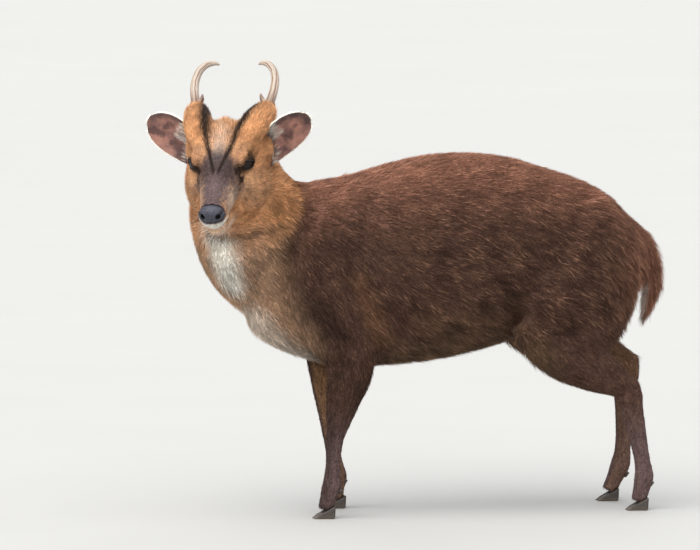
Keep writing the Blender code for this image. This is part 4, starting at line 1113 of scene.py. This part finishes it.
for side, name in ((1, "ear_left"), (-1, "ear_right")):
    rng = np.random.default_rng(60 + side)
    root, way, across, facing = ear_axes(side)
    mesh = refined([name], EAR_VOXEL, 3)
    places, outs = corners_of(mesh), normals_of(mesh)
    places = places - outs * EAR_THINNED
    off = in_head(places) - root
    local_outs = outs @ HEAD_AXES
    along, height = off @ way / EAR_LENGTH, off @ across
    inside = ease(local_outs @ facing, -0.2, 0.2)
    slice_of = np.clip((along * EAR_SLICES).astype(int), 0, EAR_SLICES - 1)
    slices = [height[slice_of == i] for i in range(EAR_SLICES)]
    centres = (np.arange(EAR_SLICES) + 0.5) / EAR_SLICES
    low_here, high_here = (
        np.interp(along, centres, [end(heights) if len(heights) else 0 for heights in slices])
        for end in (np.min, np.max)
    )
    rise = np.clip((height - low_here) / np.maximum(high_here - low_here, 1e-4), 0, 1)
    to_sides = np.minimum(high_here - height, height - low_here)
    margin = np.minimum(to_sides, (along.max() - along) * EAR_LENGTH)
    edge = 1 - ease(margin, 0.0, 0.0035)
    put_corners(mesh, places)
    write_rows(mesh, "leaf", np.stack([np.clip(along, 0, 1), rise, inside, edge], 1))
    shown(name + "_skin", mesh, ear_finish, "ear", name)

    spots = np.stack([(np.where(inside > 0.5, 0.0, 1.0) + rise) / 2, np.clip(along, 0, 1)], 1)
    outwards = np.where((rise > 0.5)[:, None], across, -across)
    tipwards = np.repeat(way[None], len(places), 0)
    near_tip = ease(along, 0.78, 0.96)[:, None]
    rim_ways = tipwards * (0.45 + near_tip) + outwards * (1 - 0.8 * near_tip)
    inner = inside > 0.5
    fanned = tipwards + across * 0.15
    beds = {
        "rim": ((edge > 0.55) & (along > 0.1 + 0.12 * (rise < 0.5)), rim_ways),
        "dark_edge": ((margin > 0.002) & (margin < 0.007) & inner & (along < 0.9), tipwards),
        "fan": (inner & (along > 0.03) & (along < 0.44) & (rise > 0.52), fanned),
        "inner_down": (inner & (along > 0.1) & (margin > 0.003), fanned),
        "back": ((inside < 0.5) & (margin > 0.0035), tipwards),
    }
    batches = []
    for hair, (where, hair_ways) in beds.items():
        count, length, width, lift, darkest, marks = EAR_HAIR[hair]
        picks = rng.choice(np.nonzero(where)[0], count)
        roots = places[picks] + rng.normal(0, 0.0003, (count, 3))
        sizes = alike(count, length, width, lift)
        bent = count <= MOST_BENT
        corners = tufts(roots, outs[picks], hair_ways[picks] @ HEAD_AXES.T, *sizes, rng, bent=bent)
        shades = rng.uniform(darkest, 0.98, count)
        batches.append((corners, np.repeat([marks], count, 0), shades, spots[picks]))
    shown("coat_" + name, tuft_mesh("coat_" + name, batches), coat_finish, "coat")

# The nose: a damp pad of cobbled black leather with two comma-shaped nostrils and a groove below them, its
# cobbles painted with a blue-grey sheen and its nostrils with shade.
NOSE_VOXEL = 0.0006
GROOVE_HALF = 0.0011
GROOVE_DEPTH = 0.0011
nose_finish = Finish("nose_leather", roughness=0.42, coat=0.25, coat_roughness=0.25, specular=0.35)
cobbles = nose_finish.node(
    "ShaderNodeTexVoronoi",
    {"feature": "F1"},
    {"Vector": nose_finish.room(), "Scale": 720.0},
)
# The nostrils are pressed in only a little and painted near black, as the shade inside them.
nostril_shade = nose_finish.node("ShaderNodeAttribute", {"attribute_name": "nostril"}, output="Fac")
# Each cobble is painted a paler blue-grey towards its middle as a sheen, and near black between them.
leather_and_sheen = nose_finish.mix(nose_finish.within(cobbles, 0.2, 0.75), tone(70, 70, 86), tone(32, 32, 41))
leather_and_sheen = nose_finish.mix(nostril_shade, leather_and_sheen, tone(6, 6, 8))
nose_finish.paint(leather_and_sheen)
nose_finish.bump(1 - nose_finish.within(cobbles, 0.1, 0.8), 0.00035, 0.8)
mesh = refined(["nose_pad"], NOSE_VOXEL, 2)
places, outs = corners_of(mesh), normals_of(mesh)
face = in_head(places)
groove = (1 - ease(np.abs(face[:, 1]), 0, GROOVE_HALF)) * (1 - ease(face[:, 2], -0.024, -0.017))
half = np.stack([face[:, 0], np.abs(face[:, 1]), face[:, 2]], 1)
nostril = np.maximum(
    blob(half, (0.105, 0.0112, -0.0165), (0.008, 0.0046, 0.0058)),
    blob(half, (0.099, 0.0158, -0.0128), (0.0085, 0.0042, 0.0032)),
)
put_corners(mesh, places - outs * (GROOVE_DEPTH * np.maximum(groove, nostril))[:, None])
mesh.attributes.new("nostril", "FLOAT", "POINT").data.foreach_set("value", nostril.astype(np.float32))
shown("nose_leather", mesh, nose_finish, "nose", "nose_pad")

# The antlers: dull bone, grooved lengthwise, with a beaded burr, dark at the root and paler to the hooked
# tip, each with its small brow tine.
ANTLER = (
    (-0.094, 0.0495, 0.0135),
    (-0.109, 0.053, 0.0195),
    (-0.126, 0.0566, 0.0262),
    (-0.142, 0.0572, 0.033),
    (-0.157, 0.053, 0.039),
    (-0.168, 0.044, 0.042),
    (-0.174, 0.0345, 0.04),
    (-0.176, 0.028, 0.0355),
)
ANTLER_VOXEL = 0.00055
ANTLER_STEPS = 12
GROOVES = ((5, 1.0), (8, 0.8), (13, 0.55))  # how many round the beam, and how strong
BURR_END = 0.17  # share of the beam that the burr and its beads take
BEADS = 11
BEAD_HEIGHT = 0.00035
BEAM_GROOVE = 0.00055
antler_finish = Finish("bone", roughness=0.5, specular=0.35)
beam_along, beam_groove, _, _ = antler_finish.attribute("beam")
darkening = antler_finish.within(antler_finish.grain(260.0, 4.0), 0.35, 0.7)
bone = antler_finish.mix(beam_groove, tone(242, 235, 217), tone(108, 68, 54))
bone = antler_finish.mix(darkening * 0.22, bone, tone(150, 112, 94))
root_stain = antler_finish.within(0.34 - beam_along, 0.0, 0.28) * (0.46 + beam_groove * 0.5)
bone = antler_finish.mix(root_stain, bone, tone(104, 68, 54))
bone = antler_finish.mix(antler_finish.within(beam_along, 0.88, 0.99) * 0.5, bone, tone(196, 176, 160))
antler_finish.paint(bone)
antler_finish.bump(antler_finish.grain(900.0, 3.0), 0.0002, 0.6)
for side, name in ((1, "left"), (-1, "right")):
    mesh = refined([f"antler_{name}", f"brow_tine_{name}"], ANTLER_VOXEL, 3, GAP_FILL)
    table = np.array(ANTLER) * (1, side, 1)
    steps = np.linspace(0, len(table) - 1, (len(table) - 1) * ANTLER_STEPS + 1)
    line = np.stack([np.interp(steps, np.arange(len(table)), table[:, i]) for i in range(3)], 1)
    line_ways = np.gradient(line, axis=0)
    line_ways /= np.linalg.norm(line_ways, axis=1, keepdims=True)
    first = np.cross(line_ways[0], (1.0, 0.0, 0.0))
    firsts = []
    for line_way in line_ways:
        first = first - (first @ line_way) * line_way
        first /= np.linalg.norm(first)
        firsts.append(first)
    firsts = np.array(firsts)
    seconds = np.cross(line_ways, firsts)
    places, outs = corners_of(mesh), normals_of(mesh)
    face = in_head(places)
    nearest = ((face[:, None] - line[None]) ** 2).sum(2).argmin(1)
    off = face - line[nearest]
    turn = np.arctan2((off * seconds[nearest]).sum(1), (off * firsts[nearest]).sum(1))
    share = nearest / (len(line) - 1)
    rng = np.random.default_rng(40 + side)
    groove = np.zeros(len(places))
    for count, strength in GROOVES:
        wander = rng.uniform(0, 2 * math.pi) + rng.uniform(-3, 3) * share
        wander = wander + 0.8 * np.sin(9 * share + count)
        groove = np.maximum(groove, strength * ease(np.cos(count * turn + wander), 0.62, 0.97))
    groove *= 1 - ease(share, 0.72, 0.96)
    beads = np.cos(BEADS * turn + 2 * np.sin(3 * turn)) * (1 - ease(share, BURR_END * 0.6, BURR_END))
    moved = BEAD_HEIGHT * beads - BEAM_GROOVE * groove * ease(share, 0.05, 0.2)
    put_corners(mesh, places + outs * moved[:, None])
    dark = np.maximum(groove, 0.5 - 0.5 * beads)
    write_rows(mesh, "beam", np.stack([share, dark, 0 * share, 1 + 0 * share], 1))
    shown(f"antler_{name}_bone", mesh, antler_finish, "antler", f"antler_{name}", f"brow_tine_{name}")

# The hooves: black horn with fine growth rings, worn pale at the edge, and a pair of dewclaws behind
# each fetlock.
FEET = [(end, side) for end in ("fore", "hind") for side in SIDES]
CLAWS = [f"claw_{end}_{side}_{place}" for end, side in FEET for place in ("inner", "outer")]
HOOF_VOXEL = 0.0007
DEWCLAW_HEIGHT = 0.037
DEWCLAW_APART = 0.007
DEWCLAW_IN = 0.0055
DEWCLAW = {"radius1": 0.0034, "radius2": 0.0018, "depth": 0.0085, "segments": 12, "cap_ends": True}
DEWCLAW_EDGE = {"offset": 0.0008, "offset_type": "OFFSET", "segments": 2, "profile": 0.5, "affect": "EDGES"}
horn_finish = Finish("horn", roughness=0.42, coat=0.15, coat_roughness=0.3, specular=0.45)
room = horn_finish.room()
room_parts = horn_finish.node("ShaderNodeSeparateXYZ", inputs={0: room}).socket.node
horn_height = Level(horn_finish, room_parts.outputs[2])
stretch = {0: room, 1: (60.0, 60.0, 900.0)}
stretched = horn_finish.node("ShaderNodeVectorMath", {"operation": "MULTIPLY"}, stretch)
rings = horn_finish.grain(1.0, 2.0, stretched)
horn = horn_finish.mix(rings, tone(34, 29, 27), tone(74, 64, 56))
horn = horn_finish.mix(horn_finish.within(0.006 - horn_height, 0.0, 0.005) * 0.5, horn, tone(112, 98, 84))
horn_finish.paint(horn)
horn_finish.bump(rings, 0.0005, 0.7)
mesh = refined(CLAWS, HOOF_VOXEL, 2)
bm = bmesh.new()
bm.from_mesh(mesh)
for end, side in FEET:
    low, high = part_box(f"{end}_pastern_{side}")
    for aside in (-1, 1):
        spot = Vector((high.x - DEWCLAW_IN, (low.y + high.y) / 2 + aside * DEWCLAW_APART, DEWCLAW_HEIGHT))
        turn = Matrix.Rotation(math.radians(205), 4, "Y") @ Matrix.Rotation(math.radians(10 * aside), 4, "X")
        made = bmesh.ops.create_cone(bm, matrix=Matrix.Translation(spot) @ turn, **DEWCLAW)
        edges = {edge for vert in made["verts"] for edge in vert.link_edges}
        bmesh.ops.bevel(bm, geom=list(edges), material=-1, **DEWCLAW_EDGE)
bm.to_mesh(mesh)
bm.free()
shown("hooves", mesh, horn_finish, "hoof", *CLAWS)

# The eyes: dark brown balls with a level pupil under a clear wet cornea, close set in black lids.
EYE_RADIUS = 0.0115
EYE_FACING = Vector((0.68, 0.72, 0.14))
EYE_TILT = math.radians(-30)


def eye_frame(side):
    """A frame at the middle of an eye: x along the opening, y out of it, z up."""
    out = mirrored(EYE_FACING, side).normalized()
    along = Vector((1, 0, 0))
    along = (along - along.dot(out) * out).normalized()
    rise = along.cross(out) * (1 if along.cross(out).z > 0 else -1)
    turn = Matrix.Rotation(EYE_TILT, 3, rise.cross(along))
    along, rise = turn @ along, turn @ rise
    axes = Matrix((along, out, rise)).transposed().to_4x4()
    return HEAD @ Matrix.Translation(mirrored(EYE_PLACE, side)) @ axes


eye_finish = Finish("eye", roughness=0.3, coat=0.38, coat_roughness=0.02, specular=0.08)
gaze_place = eye_finish.node("ShaderNodeUVMap", {"uv_map": "gaze"})
gaze_parts = eye_finish.node("ShaderNodeSeparateXYZ", inputs={0: gaze_place}).socket.node
level_across, level_above = (Level(eye_finish, gaze_parts.outputs[i]) - 0.5 for i in range(2))
from_middle = (level_across * level_across * 0.42 + level_above * level_above * 1.9) ** 0.5
iris_edge = (level_across * level_across + level_above * level_above) ** 0.5
iris = eye_finish.mix(eye_finish.grain(900.0), tone(44, 27, 18), tone(26, 16, 12))
ball = eye_finish.mix(eye_finish.within(from_middle, 0.085, 0.115), tone(5, 5, 7), iris)
ball = eye_finish.mix(eye_finish.within(iris_edge, 0.33, 0.39), ball, tone(14, 11, 10))
eye_finish.paint(ball)
for side, name in ((1, "eye_left"), (-1, "eye_right")):
    bm = bmesh.new()
    bmesh.ops.create_uvsphere(bm, u_segments=40, v_segments=24, radius=EYE_RADIUS)
    gaze = bm.loops.layers.uv.new("gaze")
    for bm_face in bm.faces:
        for loop in bm_face.loops:
            loop[gaze].uv = (0.5 + loop.vert.co.x / EYE_RADIUS / 2, 0.5 + loop.vert.co.z / EYE_RADIUS / 2)
    bmesh.ops.transform(bm, matrix=eye_frame(side), verts=bm.verts)
    bmesh.ops.recalc_face_normals(bm, faces=bm.faces)
    shown(name + "_ball", mesh_of(bm, name + "_ball"), eye_finish, "eye", name)

# The lids: bare black rims close on each ball, the upper one heavier, dipping to the tear corner, with
# short lashes along it.
LID_HALF = (0.0108, 0.0056, 0.0048)  # half length, upper and lower half heights
LID_ROWS = (
    # share of the opening, and how far out of the ball's surface at its edge
    (0.98, -0.0006),
    (1.0, 0.0008),
    (1.1, 0.0016),
    (1.32, 0.0006),
    (1.68, -0.004),
    (1.2, -0.004),
)
LID_STEPS = 64
UPPER_LID = 1.35  # how much heavier the upper lid is
LASHES = 30
LASH_SIZES = (5.2, 0.28, 30)
LASH_MARKS = (0.0, 0.0, 1.0, 0.0, 0.0, 0.0)
lid_finish = Finish("lid_skin", roughness=0.45, coat=0.1, coat_roughness=0.3, specular=0.25)
lid_colour = lid_finish.mix(lid_finish.grain(700.0), tone(20, 16, 16), tone(38, 30, 28))
lid_finish.paint(lid_colour)
lid_finish.bump(lid_finish.grain(1200.0, 3.0), 0.0002, 0.6)


def lid_point(turn, share, out):
    """A place on a lid, in its eye's frame."""
    x = LID_HALF[0] * math.cos(turn)
    z = LID_HALF[1 if math.sin(turn) > 0 else 2] * math.sin(turn)
    on_ball = math.sqrt(EYE_RADIUS**2 - x * x - z * z)
    heavier = UPPER_LID if math.sin(turn) > 0 else 1.0
    return Vector((x * share, on_ball + (out * heavier if out > 0 else out), z * share))


lash_batches = []
for side, name in ((1, "left"), (-1, "right")):
    bm = bmesh.new()
    turns = [2 * math.pi * i / LID_STEPS for i in range(LID_STEPS)]
    rows = [[bm.verts.new(lid_point(turn, share, out)) for turn in turns] for share, out in LID_ROWS]
    for row, following in zip(rows, rows[1:] + rows[:1]):
        for i in range(LID_STEPS):
            j = (i + 1) % LID_STEPS
            bm.faces.new((row[i], row[j], following[j], following[i]))
    bmesh.ops.transform(bm, matrix=eye_frame(side), verts=bm.verts)
    bmesh.ops.recalc_face_normals(bm, faces=bm.faces)
    shown(f"lid_{name}", mesh_of(bm, f"lid_{name}"), lid_finish, "nose")

    rng = np.random.default_rng(80 + side)
    lash_turns = np.linspace(math.radians(20), math.radians(160), LASHES)
    axes = np.array(eye_frame(side).to_3x3())
    roots = np.array([eye_frame(side) @ lid_point(turn, 1.08, 0.0014) for turn in lash_turns])
    outs = np.repeat((axes @ (0.0, 0.45, 0.89))[None], LASHES, 0)
    ways = np.stack([axes @ (math.cos(turn) * 0.6, 0.9, 0.1) for turn in lash_turns])
    corners = tufts(roots, outs, ways, *alike(LASHES, *LASH_SIZES), rng)
    marks = np.repeat([LASH_MARKS], LASHES, 0)
    spots = np.stack([lash_turns / 7, np.full(LASHES, 0.5 + 0.4 * side)], 1)
    lash_batches.append((corners, marks, np.full(LASHES, 0.1), spots))

# The whiskers: stiff black hairs on the upper lip and the chin, and a few over each eye.
WHISKER_BEDS = {
    # bed: forward, aside, up; spread; how many on a side; their way; length in millimetres, lift in degrees
    "upper_lip": ((0.09, 0.019, -0.031), 0.006, 14, (0.25, 0.9, -0.35), 20.0, 38),
    "lip_side": ((0.07, 0.022, -0.036), 0.006, 8, (-0.3, 0.8, -0.5), 18.0, 34),
    "chin": ((0.08, 0.008, -0.06), 0.005, 8, (0.1, 0.4, -0.9), 14.0, 40),
    "over_eye": ((0.006, 0.031, 0.022), 0.0035, 3, (-0.2, 0.5, 0.8), 16.0, 45),
}
WHISKER_WIDTH = 0.26
WHISKER_MARKS = (0.0, 0.0, 0.9, 0.0, 0.0, 0.0)
skin_tree = BVHTree.FromPolygons([tuple(place) for place in skin_places], triangles.tolist())
rng = np.random.default_rng(90)
for middle, spread, count, way, length, lift in WHISKER_BEDS.values():
    for side in (1, -1):
        roots, outs = [], []
        for _ in range(count):
            near = mirrored(middle, side) + Vector(rng.normal(0, spread / 2, 3))
            place, out, _, _ = skin_tree.find_nearest(HEAD @ near)
            roots.append(place)
            outs.append(out)
        ways = np.repeat((HEAD_AXES @ (way[0], way[1] * side, way[2]))[None], count, 0)
        sizes = alike(count, length, WHISKER_WIDTH, lift)
        corners = tufts(np.array(roots), np.array(outs), ways, *sizes, rng, sway=0.35, curve=0.4)
        marks = np.repeat([WHISKER_MARKS], count, 0)
        spots = np.stack([rng.uniform(0, 1, count), rng.uniform(0, 1, count)], 1)
        lash_batches.append((corners, marks, np.full(count, 0.3), spots))
shown("lashes_and_whiskers", tuft_mesh("lashes_and_whiskers", lash_batches), coat_finish, "coat")
